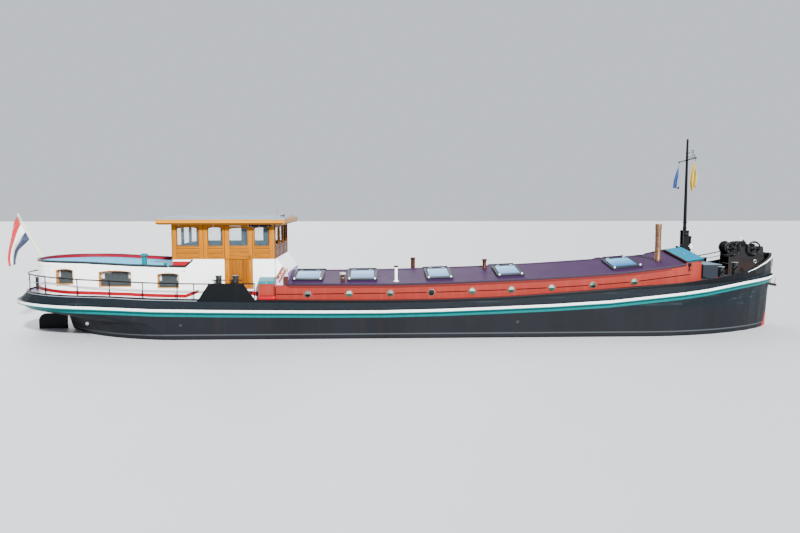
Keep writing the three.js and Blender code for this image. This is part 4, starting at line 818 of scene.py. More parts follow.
SIDE_WINDOWS = ((-7.1, -6.45), (-6.15, -5.72), (-4.72, -4.29))
END_WINDOWS = ((-1.48, -0.56), (-0.45, 0.45), (0.56, 1.48))
WINDOW_LOW, WINDOW_HIGH, WINDOW_RISE = 2.835, 3.4, 0.035
DOOR_X = (-5.652, -4.788)
DOOR_WINDOW = (-5.5, -4.95)
WALL_FOOT, WALL_HEAD = 2.424, 3.495
AWNING_Y, AWNING_Z = -1.86, 3.45


def beads(hole, face, place, wide=0.02, proud=0.012):
    """Glazing bead around a window: a small ogee standing on the wall."""
    return moulded(hole, [(0.001, face - SUNK), (0.001, face + proud * 0.6), (wide * 0.35, face + proud),
                          (wide * 0.8, face + proud * 0.7), (wide, face + 0.001), (wide, face - SUNK)], place)


def board(u, v, face, place, proud=0.012, ease=0.004):
    """Flat board on a wall with eased edges, from one corner to the other."""
    return plate(arch(u, v), [(0, face - SUNK), (0, face + proud - ease), (-ease * 0.4, face + proud - ease * 0.3),
                              (-ease, face + proud)], place)


def panel(u, v, face, place):
    """Raised panel: a sunk margin and a bevelled field."""
    return plate(arch(u, v), [(0, face - SUNK), (0, face + 0.006), (-0.012, face + 0.001), (-0.03, face + 0.009),
                              (-0.034, face + 0.01)], place)


def house_sides():
    """Stiles, rails, beads and panels on the wheelhouse's long sides."""
    place, face = on_side(-1), HOUSE_HALF
    stiles = [(-7.249, -7.13), (-6.425, -6.31), (-6.295, -6.175), (-5.7, -5.664), (-4.776, -4.742), (-4.27, -4.112)]
    pair("house_stiles", [board(u, (WALL_FOOT, WALL_HEAD), face, place, 0.022) for u in stiles], "stile_wood")
    rails, panels = [], []
    for u in ((-7.13, -6.425), (-6.175, -5.7), (-4.742, -4.27)):
        rails += [board(u, v, face, place, proud) for v, proud in (((3.425, WALL_HEAD), 0.014), ((2.755, 2.815), 0.02),
                                                                   ((2.6, 2.625), 0.014), ((WALL_FOOT, 2.46), 0.018))]
        panels += [panel(inset(u, 0.01), v, face, place) for v in ((2.635, 2.745), (2.47, 2.59))]
    rails.append(board((-5.664, -4.776), (3.452, WALL_HEAD), face, place, 0.014))
    pair("house_rails", rails, "rail_wood")
    pair("house_panels", panels, "rail_wood")
    pair("house_beads", [beads(arch(u, (WINDOW_LOW, WINDOW_HIGH), WINDOW_RISE), face, place) for u in SIDE_WINDOWS],
         "wall_wood")
    for name, z, finish in (("skirt", (2.08, 2.352), "signal_red"), ("skirt_top", (2.352, 2.423), "white_gloss")):
        pair(f"house_{name}", slab((-7.252, -6.64), (-1.7, -1.69), z), finish)
    sill = carried(rounded(0.03, 0.02, 0.006), [(-7.27, -1.712, 2.427), (-4.1, -1.712, 2.427)])
    pair("house_sill", sill, "rail_wood")


def house_ends():
    """The same framing on the wheelhouse's aft and fore walls, in a darker, redder copy of the wall wood with their
    shade painted in.
    """
    for word, face, sign, low in (("aft", -7.25, -1, 2.36), ("fore", -4.11, 1, WALL_FOOT)):
        place = on_end(face, sign)
        parts = [board(u, (low, WALL_HEAD), 0, place, 0.02)
                 for u in ((-0.555, -0.455), (0.455, 0.555), (-1.7, -1.595), (1.595, 1.7))]
        for u in END_WINDOWS:
            parts += [board(u, v, 0, place, 0.014) for v in ((3.43, WALL_HEAD), (2.75, 2.815), (low, low + 0.04))]
            parts.append(beads(arch(u, (WINDOW_LOW, WINDOW_HIGH), WINDOW_RISE), 0, place))
            parts.append(panel(inset(u, 0.01), (low + 0.06, 2.73), 0, place))
        piece(f"house_{word}_framing", parts, "end_wood_painted_shade")


def doors():
    """Door: boards below, a glazed upper half, a lever handle and a brass plate, on each side."""
    x0, x1 = DOOR_X
    low, high, face, handle = 1.495, 3.436, 1.697, x1 - 0.075
    for word, side in SIDES:
        body, place = f"door_{word}", on_side(side)
        rails = [board(inset(DOOR_X, 0.14), z, face, place, 0.006, 0.002)
                 for z in ((3.415, high), (2.75, 2.81), (2.4, 2.48), (1.5, 1.62))]
        rails += [panel(inset(DOOR_X, 0.145), z, face - 0.003, place) for z in ((2.49, 2.61), (2.625, 2.745))]
        rails.append(beads(arch(DOOR_WINDOW, (WINDOW_LOW, WINDOW_HIGH - 0.02), WINDOW_RISE), face, place, 0.018, 0.006))
        stiles = [board(x, (low, high), face, place, 0.006, 0.002)
                  for x in ((x0 + 0.012, x0 + 0.135), (x1 - 0.135, x1 - 0.012))]
        boards = plate(arch(inset(DOOR_X, 0.14), (1.625, 2.395)), [(0, face - 0.003), (0, face + 0.003)], place)
        foot, grip, tip = [side * (face + out) for out in (0.008, 0.05, 0.052)]
        fittings = [plate(rounded(0.036, 0.17, 0.012) + [handle, 2.47],
                          [(0, face + 0.004), (0, face + 0.009), (-0.003, face + 0.011)], place),
                    rod((handle, foot, 2.5), (handle, grip, 2.5), 0.008),
                    rod((x1 - 0.07, grip, 2.5), (x1 - 0.19, tip, 2.496), 0.009, end=0.007),
                    moved(turned([(0.008, 0), (0.008, 0.012), (0.003, 0.014)], axis=1, count=12),
                          (handle, foot, 2.42), side)]
        for name, shells, finish in (("rails", rails, "rail_wood"), ("stiles", stiles, "stile_wood"),
                                     ("boards", boards, "board_wood"), ("handle", fittings, "bronze_metal")):
            piece(f"door_{word}_{name}", shells, finish, body)


def house_roof():
    """Rounded fascia around the roof, a bead under it, boarded soffit, and the cambered cover."""
    x0, x1, half = -7.66, -3.77, 2.0
    nose = [(0, 3.5), (0.012, 3.503), (0.02, 3.52), (0.022, 3.56), (0.016, 3.6), (0.024, 3.61), (0.034, 3.635),
            (0.03, 3.665), (0.012, 3.684), (-0.03, 3.686), (-0.03, 3.66), (0.0, 3.64)]
    corners = offset_outline(arch(inset((x0, x1), 0.01), inset((-half, half), 0.01)), -0.04)
    soft = np.concatenate([corner + rounded(0.08, 0.08, 0.039, 4)[i * 5:(i + 1) * 5]
                           for i, corner in zip((2, 3, 0, 1), corners)])
    piece("roof_fascia", moulded(soft, nose, lambda p: p), "fascia_wood")
    ys = np.linspace(-half + 0.03, half - 0.03, 25)
    crown = np.interp(np.abs(ys) / half, [0, 0.55, 1], [3.735, 3.715, 3.67]) + 0.006
    ys, crown = np.concatenate([ys, ys[::-1]]), np.concatenate([crown, crown[::-1] - 0.012])
    cover = skin([xyz(x, ys, crown) for x in np.linspace(x0 + 0.03, x1 - 0.03, 24)])
    piece("roof_cover", cover, "roof_grey", crease=60)
    # Soffit boards in the darker end wood, which paints in the shade under the roof.
    pair("roof_soffit", [slab((x0 + 0.06 + i * 0.118, x0 + 0.17 + i * 0.118), (-1.97, -1.73), (3.492, 3.4995), 0.002)
                         for i in range(32)], "end_wood_painted_shade")
    lamp = [(0.03, 0), (0.03, -0.012), (0.012, -0.02), (0.012, -0.05), (0.002, -0.052)]
    pair("soffit_lamps", [turned(lamp, (x, AWNING_Y, 3.495), count=16) for x in (-7.0, -5.95, -4.15)], "pale_grey")
    y, z = AWNING_Y, AWNING_Z
    roll = smooth_path(xyz([-4.86, -4.7, -4.45, -4.2], y, [z, z + 0.002, z - 0.002, z]), 24)
    section = circle(0.042, 18) * (1 + 0.05 * np.sin(np.arange(18) * 2.1))[:, None]
    piece("awning_roll", carried(section, roll), "awning_purple")
    bands = [doughnut((x, y, z), 0.044, 0.006, 0, 20, 6) for x in (-4.8, -4.55, -4.27)]
    arms = [rod((x, y, z + 0.02), (x, y, z + 0.052), 0.01) for x in (-4.82, -4.24)]
    piece("awning_brackets", bands + arms, "pale_grey")
    lantern = [(0.03, 0), (0.03, 0.03), (0.014, 0.035), (0.014, 0.22), (0.028, 0.225), (0.03, 0.235), (0.028, 0.33),
               (0.03, 0.335), (0.02, 0.35), (0.003, 0.352)]
    piece("roof_lantern", turned(lantern, (-4.0, -1.7, 3.67), count=20), "pale_grey")
    horn = [(0.012, 0), (0.014, 0.06), (0.03, 0.12), (0.052, 0.14), (0.05, 0.142), (0.026, 0.12), (0.004, 0.08)]
    piece("roof_horn", [turned(horn, (-3.98, -1.3, 3.76), 0, 20),
                        rod((-3.94, -1.3, 3.68), (-3.94, -1.3, 3.762), 0.009)], "bronze_metal")


def helm_trim():
    """Round dials and a throttle lever on the console, and a bench aft."""
    dial = [(0.055, 0), (0.057, 0.008), (0.048, 0.013), (0.046, 0.006), (0.004, 0.006)]
    piece("helm_dials", [turned(dial, (-4.40, y, 2.425), count=24) for y in (-0.36, -0.18, 0.18, 0.36)],
          "bronze_metal")
    piece("throttle_lever", [rod((-4.44, -0.5, 2.4), (-4.5, -0.5, 2.56), 0.009), ball((-4.503, -0.5, 2.57), 0.022)],
          "black_gloss")
    piece("helm_bench", [slab(x, (-1.636, 1.636), z)
                         for x, z in (((-7.187, -6.72), (2.3, 2.34)), ((-6.76, -6.73), (2.16, 2.3)))], "floor_wood")


# Hold. Portholes, columns: x, height of the centre. Skylights and the lid: from x to x

PORTHOLES = np.array([[-3.093, 1.324], [-1.808, 1.336], [-0.522, 1.342], [0.769, 1.36], [2.053, 1.4],
                      [3.289, 1.437], [4.571, 1.492], [5.884, 1.565], [7.211, 1.665]])
SKYLIGHTS = ((-3.6, -2.66), (-1.87, -0.94), (0.65, 1.48), (2.91, 3.75), (6.62, 7.57))
PORT_CLEAR = 0.155  # from a porthole's centre to the groove bead's end
LID_END, LID_SLOPE, LID = 9.44, 0.1478, "fore_hatch_lid"


def coaming_trim():
    """Mouldings along the coaming: eave, a fine dark line under it as painted shade, near-black beads between the
    portholes as a groove's painted shade, foot.
    """
    xs = np.linspace(-4.07, 9.18, 70)
    eave, foot = along(HOLD, EAVE, xs), along(SHEER, DECK, xs)
    ogee = [[-0.004, -0.016], [0.02, -0.014], [0.028, -0.004], [0.024, 0.008], [0.034, 0.014], [0.034, 0.022],
            [-0.004, 0.022]]
    hollow = [[-0.004, -0.014], [0.034, -0.014], [0.03, 0.0], [0.012, 0.012], [-0.004, 0.022]]
    for name, profile, height, part, finish in (
            ("eave_moulding", ogee, eave - 0.07, slice(2, 66), "eave_red"),
            # The fine dark line under the eave moulding is painted shade.
            ("eave_shade_line", rounded(0.012, 0.01, 0.003), eave - 0.112, slice(2, 66), "dark_red"),
            ("foot", hollow, foot + 0.014, slice(None), "dark_red")):
        pair(f"coaming_{name}", carried(profile, xyz(xs, -COAMING_HALF, height)[part]), finish)
    stops = np.concatenate([[-4.07], np.repeat(PORTHOLES[:, 0], 2) + np.tile([-PORT_CLEAR, PORT_CLEAR], 9), [9.0]])
    beads_between = []
    for a, b in stops.reshape(-1, 2):
        x = np.linspace(a, b, max(4, int((b - a) / 0.2)))
        z = np.interp(x, *PORTHOLES.T) + (x - PORTHOLES[-1, 0]).clip(0) * 0.128
        beads_between.append(carried(half_round(0.028, 0.008, 6)[:, ::-1], xyz(x, -COAMING_HALF + 0.0015, z)))
    # Near-black beads between the portholes: painted shade that stands for the coaming's groove.
    pair("coaming_groove", beads_between, "groove_painted_shade")
    mouth = deck_line(0.42, 0.02, np.linspace(9.7, 12.0, 24), DECK)
    pair("foredeck_waterway", carried(rounded(0.05, 0.03, 0.01), mouth), "dark_red")


def portholes():
    """Bronze-lipped portholes with bolts around the flange and thick greenish glass."""
    flange = [(0.09, -0.004), (0.112, -0.004), (0.112, 0.006), (0.108, 0.01), (0.1, 0.011), (0.097, 0.018),
              (0.092, 0.019), (0.088, 0.015), (0.086, 0.002)]
    dome = [(0.09, 0.0), (0.09, 0.002), (0.06, 0.007), (0.02, 0.0095), (0.002, 0.01)]
    bolt = turned([(0.0055, 0), (0.0055, 0.003), (0.002, 0.0045)], axis=1, count=8)
    turn = np.arange(8) * math.pi / 4 + 0.2
    bolts = repeated(bolt, xyz(0.104 * np.cos(turn), 0.0105, 0.104 * np.sin(turn)))
    spots = xyz(PORTHOLES[:, 0], -COAMING_HALF, PORTHOLES[:, 1])
    for name, shell, finish in (("rims", turned(flange, axis=1, count=36, wrap=True), "pale_bronze"),
                                ("glass", turned(dome, axis=1, count=36), "port_glass"),
                                ("bolts", bolts, "bronze_metal")):
        pair(f"porthole_{name}", repeated(shell, spots, -1), finish)


def skylights():
    """Glazed roof hatches: a wide grey frame with a drip edge, a bedded pane, hinges and knobs."""
    frames, panes, knobs, seals, hinges = [], [], [], [], []
    for x0, x1 in SKYLIGHTS:
        edge, hole = arch((x0, x1), (0.33, 1.5)), arch((x0 + 0.085, x1 - 0.085), (0.37, 1.31))
        rows = [(edge, 0.006, 0.036), (edge, 0.014, 0.04), (edge, 0.012, 0.07), (edge, -0.004, 0.076),
                (edge, -0.018, 0.078), (hole, 0.012, 0.077), (hole, 0, 0.072), (hole, 0, 0.05),
                (edge, -0.004, 0.05), (edge, -0.002, 0.04)]
        rings = [xyz(*offset_outline(outline, d).T, lift) for outline, d, lift in rows]
        frames.append(skin(on_roof(np.stack(rings)), wrap=True))
        panes.append(plate(hole, [(0.004, 0.052), (0.002, 0.064), (-0.03, 0.067)], on_roof))
        seals.append(moulded(hole, [(0.002, 0.062), (0.002, 0.07), (-0.01, 0.069), (-0.01, 0.062)], on_roof))
        for x in (x0 + 0.06, x1 - 0.06):
            spot = on_roof(np.array([x, 1.475, 0.1]))
            knobs += [ball(spot, 0.024, 16), turned([(0.03, -0.03), (0.03, -0.012), (0.014, -0.004), (0.012, 0.0)],
                                                    spot, count=16)]
        for x in (x0 + 0.2, x1 - 0.2):
            hinges.append(rod(*on_roof(np.array([[x - 0.05, 0.325, 0.078], [x + 0.05, 0.325, 0.078]])), 0.012))
    for name, shells, finish in (("frames", frames, "frame_grey"), ("panes", panes, "sky_glass"),
                                 ("seals", seals, "black_gloss"), ("knobs", knobs, "white_gloss"),
                                 ("hinges", hinges, "galvanised")):
        pair(f"skylight_{name}", shells, finish)


def roof_trim():
    """Ridge capping and the raised lines at the eaves of the hold's roof."""
    xs = np.linspace(-3.7, 8.84, 60)
    cap = [[-0.07, -0.008], [-0.066, -0.001], [-0.012, 0.012], [0.012, 0.012], [0.066, -0.001], [0.07, -0.008],
           [0.0, 0.003]]
    piece("ridge_cap", carried(cap, xyz(xs, 0, along(HOLD, RIDGE, xs) + 0.002)), "roof_plum")
    lip = xyz(xs, -1.818, roof_z(xs, 1.818) + 0.002)
    pair("roof_eave_lip", carried(half_round(0.026, 0.014, 6), lip), "eave_lip")
    drip = xyz(xs, -1.832, along(HOLD, EAVE, xs) - 0.03)
    pair("roof_drip_edge", carried(rounded(0.01, 0.034, 0.004), drip), "eave_lip")


# Turned pieces on the hold's roof: x, y, then name, the CAD node replaced, finish, (radius, height) rows
ROOF_VENTS = (
    (-2.015, -1.46, (
        ("mushroom_base", "mushroom_vent", "brown_paint", [
            (0.085, -0.02), (0.085, 0.014), (0.066, 0.024), (0.062, 0.165), (0.05, 0.168), (0.05, 0.206), (0.06, 0.208),
            (0.06, 0.216), (0.004, 0.216)]),
        ("mushroom_head", None, "vent_cream", [
            (0.056, 0.214), (0.098, 0.22), (0.104, 0.23), (0.1, 0.246), (0.104, 0.252), (0.098, 0.268), (0.065, 0.283),
            (0.004, 0.29)]),
        ("mushroom_band", None, "pale_bronze", [(0.062, 0.09), (0.068, 0.092), (0.068, 0.13), (0.062, 0.132)]))),
    (-0.33, -1.5, (
        ("vent_pipe_stem", "vent_pipe", "white_gloss", [
            (0.09, -0.02), (0.09, 0.012), (0.05, 0.02), (0.045, 0.03), (0.045, 0.456), (0.004, 0.456)]),
        ("vent_pipe_head", None, "black_gloss", [
            (0.03, 0.452), (0.062, 0.456), (0.074, 0.466), (0.074, 0.488), (0.054, 0.498), (0.02, 0.503),
            (0.003, 0.504)]))),
    (0.315, 0.42, (
        ("far_vent_stem", "far_vent_pipe", "dark_copper", [
            (0.1, -0.02), (0.1, 0.01), (0.074, 0.02), (0.072, 0.34), (0.076, 0.345), (0.076, 0.36), (0.072, 0.362),
            (0.072, 0.37), (0.003, 0.37)]),
        ("far_vent_collar", None, "black_gloss", [(0.073, 0.352), (0.084, 0.355), (0.084, 0.385), (0.073, 0.39)]),
        ("far_vent_head", None, "dark_copper", [
            (0.05, 0.386), (0.084, 0.39), (0.084, 0.405), (0.05, 0.42), (0.003, 0.424)]))),
    (2.66, -0.33, (
        ("copper_vent_stem", "copper_vent", "dark_copper", [
            (0.1, -0.02), (0.1, 0.014), (0.07, 0.03), (0.062, 0.05), (0.062, 0.25), (0.07, 0.256), (0.07, 0.27),
            (0.06, 0.274), (0.003, 0.275)]),
        ("copper_vent_head", None, "dark_copper", [
            (0.045, 0.272), (0.094, 0.28), (0.098, 0.292), (0.09, 0.31), (0.05, 0.326), (0.004, 0.33)]))))
FLUE, FLUE_TOP = (8.276, -0.96), 3.47


def hold_vents():
    """Ventilators and the flue on the hold's roof, turned from their own profiles."""
    for x, y, parts in ROOF_VENTS:
        for name, node, finish, rows in parts:
            obj = piece(name, turned(rows, (x, y, roof_z(x, abs(y)) - 0.006)), finish)
            if node:
                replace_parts(obj, node)
    foot = roof_z(*FLUE) - 0.006
    top = FLUE_TOP - foot
    rows = [(0.104, -0.03), (0.104, 0.012), (0.102, 0.09), (0.099, 0.1), (0.095, 0.11)]
    for joint in (0.46, 0.82):
        rows += [(0.095, joint), (0.1, joint + 0.004), (0.1, joint + 0.03), (0.095, joint + 0.034)]
    rows += [(0.095, top - 0.2), (0.1, top - 0.196), (0.104, top - 0.17), (0.104, top - 0.02), (0.102, top - 0.006),
             (0.098, top), (0.093, top - 0.004), (0.09, top - 0.12), (0.004, top - 0.12)]
    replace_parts(piece("flue_tube", turned(rows, (*FLUE, foot), count=40), "copper_metal"), "copper_flue")


def lid_z(x, y):
    """Top of the sliding lid: its own straight slope, level with its fore end."""
    ridge, eave = [along(HOLD, column, LID_END) + LID_SLOPE * (x - LID_END) + 0.02 for column in (RIDGE, EAVE)]
    return ridge - (ridge - eave) * np.abs(y) / COAMING_HALF + 0.06


def fore_hatch():
    """Ridged grip along the lid's aft edge, a dark lower edge, a lip and two lifting rings."""
    ys = (np.arange(46) - 22.5) * 0.078
    grip = [repeated(slab((8.872, 8.9), (-0.022, 0.022), (-0.052, 0.004), 0.006), xyz(0, ys, lid_z(8.9, ys)))]
    middle, edge = lid_z(8.89, 0), lid_z(8.89, 1.79)
    grip += [plate([[0.0, middle - 0.05], [s * 1.79, edge - 0.05], [s * 1.79, edge - 0.004], [0.0, middle - 0.004]],
                   [(0, 8.882), (0, 8.903)], on_end()) for s in (-1, 1)]
    piece("hatch_grip", grip, "brown_paint", LID)
    xs = np.linspace(8.91, 9.43, 6)
    piece("hatch_side_strips", [carried(rounded(0.012, 0.026, 0.004), xyz(xs, s * 1.801, lid_z(xs, 1.8) - 0.045))
                                for s in (-1, 1)], "dark_teal", LID)
    ys = np.linspace(-1.79, 1.79, 40)
    piece("hatch_front_lip", carried(half_round(0.03, 0.012, 6), xyz(9.437, ys, lid_z(9.437, ys) - 0.004)),
          "teal_gloss", LID)
    piece("hatch_rings", [doughnut((9.17, s * 0.9, lid_z(9.17, 0.9) + 0.012), 0.05, 0.007, 2, 24, 8) for s in (-1, 1)],
          "galvanised", LID)
    hook = smooth_path([(8.99, -1.812, 2.2), (8.98, -1.836, 2.19), (8.97, -1.84, 2.12), (8.96, -1.85, 2.05),
                        (8.985, -1.865, 2.03), (9.01, -1.862, 2.06)], 24)
    piece("coaming_hook", [carried(circle(0.012, 10), hook), slab((8.93, 9.03), (-1.812, -1.798), (2.15, 2.25))],
          "black_gloss")


def boarding_steps():
    """Slanted stringers with rungs, pale treads with rounded nosings, and the block at the steps' head."""
    runs = ((-4.08, 1.8, -3.88, 2.145), (-3.985, 1.69, -3.765, 2.06))
    stringers = [carried(rounded(0.028, 0.056, 0.006), np.linspace([x0, y, z0], [x1, y, z1], 4))
                 for y in (-1.745, -1.372) for x0, z0, x1, z1 in runs]
    rungs = [rod((-4.07 + 0.185 * t, -1.742, 1.8 + 0.32 * t), (-3.985 + 0.2 * t, -1.742, 1.715 + 0.345 * t), 0.012)
             for t in np.linspace(0.08, 0.95, 5)]
    piece("step_stringers", stringers + rungs, "step_wood")
    steps = ((-4.07, 1.79), (-3.96, 1.93), (-3.851, 2.075))
    piece("step_treads", [slab((x, x + 0.112), (-1.744, -1.386), (z - 0.003, z + 0.012)) for x, z in steps],
          "liner_wood")
    piece("step_noses", [carried(half_round(0.026, 0.012, 6), xyz(x + 0.005, [-1.742, -1.388], z + 0.01))
                         for x, z in steps], "step_wood")
    piece("step_block", slab((-3.835, -3.7), (-1.83, -1.78), (1.63, 1.88), 0.008), "brown_paint")


def deck_box_trim():
    """Battens and straps on the red box, its lid's edge and hasp, and the fender on its chocks."""
    straps = [slab((x - 0.02, x + 0.02), (-2.156, -2.149), (1.2, 1.685)) for x in (-4.53, -4.125)]
    straps += [carried(rounded(0.014, 0.03, 0.005), [(-4.545, -2.152, z), (-4.11, -2.152, z)]) for z in (1.36, 1.665)]
    piece("box_straps", straps, "coaming_red")
    lid = plate(arch((-4.565, -4.09), (-2.165, -1.767)),
                [(-0.004, 1.761), (0, 1.758), (0.003, 1.752), (0.003, 1.73), (-0.02, 1.762)],
                lambda p: p + UP * 0.258 * (p[..., 1:2] + 2.165))
    piece("box_lid_edge", lid, "teal_gloss", "deck_box_lid")
    piece("box_hasp", slab((-4.348, -4.308), (-2.178, -2.167), (1.69, 1.75), 0.002), "galvanised", "deck_box_lid")
    piece("box_staple", doughnut((-4.328, -2.158, 1.67), 0.014, 0.004, 0, 16, 8), "galvanised")
    turn = np.linspace(0, math.pi / 2, 6)
    head = np.column_stack([0.018 + 0.052 * np.sin(turn), 0.06 * (1 - np.cos(turn))])
    end = np.concatenate([[[0.012, -0.05], [0.018, -0.045], [0.018, -0.004]], head]) - [0, 0.27]
    ribs = [(0.07 + 0.003 * (i % 2), z) for i, z in enumerate(np.linspace(-0.2, 0.2, 17))]
    piece("fender", turned(np.concatenate([end, ribs, end[::-1] * [1, -1]]), (-4.3, -2.222, 1.262), 0), "signal_red")
    piece("fender_chocks", [slab((x - 0.02, x + 0.02), (-2.26, -2.14), (1.14, 1.195)) for x in (-4.46, -4.14)],
          "black_gloss")


# Foredeck, mast and windlass

MAST_X, YARD_ENDS = 9.57, ((9.637, 0.78, 5.576), (9.514, -0.78, 5.626))
DRUM_X, WHEEL_X, AXLE_Z, CHAIN_END_X = 11.1, 11.79, 2.64, 12.672


def mast_trim():
    """Truck, bands, curled lamp brackets, halyards with their weights, the lamp and the vent pipe by it."""
    x = MAST_X
    truck = [(0.034, 6.22), (0.04, 6.225), (0.04, 6.24), (0.034, 6.245), (0.034, 6.285), (0.02, 6.298), (0.003, 6.3)]
    piece("mast_truck", turned(truck, (x, 0, 0), count=20), "dark_red", "mast")
    bands = [turned([(r, z - 0.02), (r + 0.008, z - 0.018), (r + 0.008, z + 0.018), (r, z + 0.02)], (x, 0, 0), count=20)
             for z, r in ((5.84, 0.037), (5.6, 0.039), (3.5, 0.06), (3.3, 0.061))]
    turn = np.linspace(0, 1.5 * math.pi, 14)
    for z, reach in ((5.84, 0.2), (5.70, 0.24)):
        curl = xyz(x + reach - 0.02 + 0.045 * np.sin(turn), 0, z + 0.045 - 0.045 * np.cos(turn))
        path = np.concatenate([[[x + 0.03, 0, z], [x + reach * 0.5, 0, z]], curl])
        bands.append(carried(circle(0.011, 8), smooth_path(path, 40), np.array([0, 1.0, 0])))
    bands += [turned([(0.023, -0.02), (0.03, -0.018), (0.03, 0.018), (0.023, 0.02)], end, 1, 16) for end in YARD_ENDS]
    piece("mast_bands", bands, "black_gloss", "mast")
    lines = [((x, y, top), (x, y, low)) for (x, y, _), top, low in zip(YARD_ENDS, (5.5, 5.56), (4.68, 4.70))]
    piece("pennant_halyards", [rod(top, low, 0.005, 8) for top, low in lines], "halyard_pale", "mast")
    piece("pennant_weights", [ball(low, 0.038) for _, low in lines], "black_gloss", "mast")
    lamp = [(0.045, 0), (0.047, 0.01), (0.04, 0.02), (0.04, 0.1), (0.05, 0.108), (0.046, 0.13), (0.02, 0.145),
            (0.003, 0.148)]
    piece("mast_lamp", [turned(lamp, (9.74, -0.135, 2.62), count=20),
                        rod((9.65, -0.13, 2.69), (9.72, -0.133, 2.69), 0.012)], "white_gloss")
    cap = [(0.041, 2.96), (0.056, 2.97), (0.056, 3.0), (0.03, 3.03), (0.003, 3.033)]
    piece("foredeck_vent", [rod((9.83, 0.14, 1.66), (9.83, 0.14, 3.02), 0.04, 16),
                            turned(cap, (9.83, 0.14, 0), count=20)], "black_gloss")
    pivot = turned([(0.05, 0), (0.05, 0.02), (0.03, 0.03), (0.003, 0.032)], axis=1, count=20)
    fittings = [moved(pivot, (x, s * 0.151, 3.08), s) for s in (-1, 1)]
    fittings += [slab((x - 0.092, x + 0.092), (s * 0.152 - 0.006, s * 0.152 + 0.006), (z - 0.02, z + 0.02), 0.003)
                 for z in (2.0, 2.6, 3.18) for s in (-1, 1)]
    fittings += [rod((9.46, -0.1, 2.72), (9.46, 0.1, 2.72), 0.014), rod((9.35, 0, 2.66), (9.48, 0, 2.66), 0.014),
                 ball((9.32, 0, 2.66), 0.045)]
    piece("tabernacle_fittings", fittings, "black_gloss")


def chain(path, pitch, bar, wide):
    """Chain along a path: alternate links turned a quarter, each an oval ring of round section."""
    run = lengths(path)
    count = int(run[-1] / pitch)
    centre = sampled(path, run, (np.arange(count) + 0.5) * pitch)
    ahead = unit(np.gradient(centre, axis=0))
    side = unit(np.cross(ahead, [0.02, 1.0, 0.03]))
    third = np.cross(ahead, side)
    ring, section = circle(1, 10), circle(bar, 5)
    links = []
    for k in range(count):
        a, b, c = ahead[k], (side[k] if k % 2 else third[k]), (third[k] if k % 2 else -side[k])
        middle = ring[:, :1] * a * pitch * 0.72 + ring[:, 1:] * b * wide
        out = ring[:, :1] * a + ring[:, 1:] * b
        links.append(skin(centre[k] + middle[:, None] + section[None, :, :1] * out[:, None]
                          + section[None, :, 1:] * c, wrap=True))
    return joined(links)


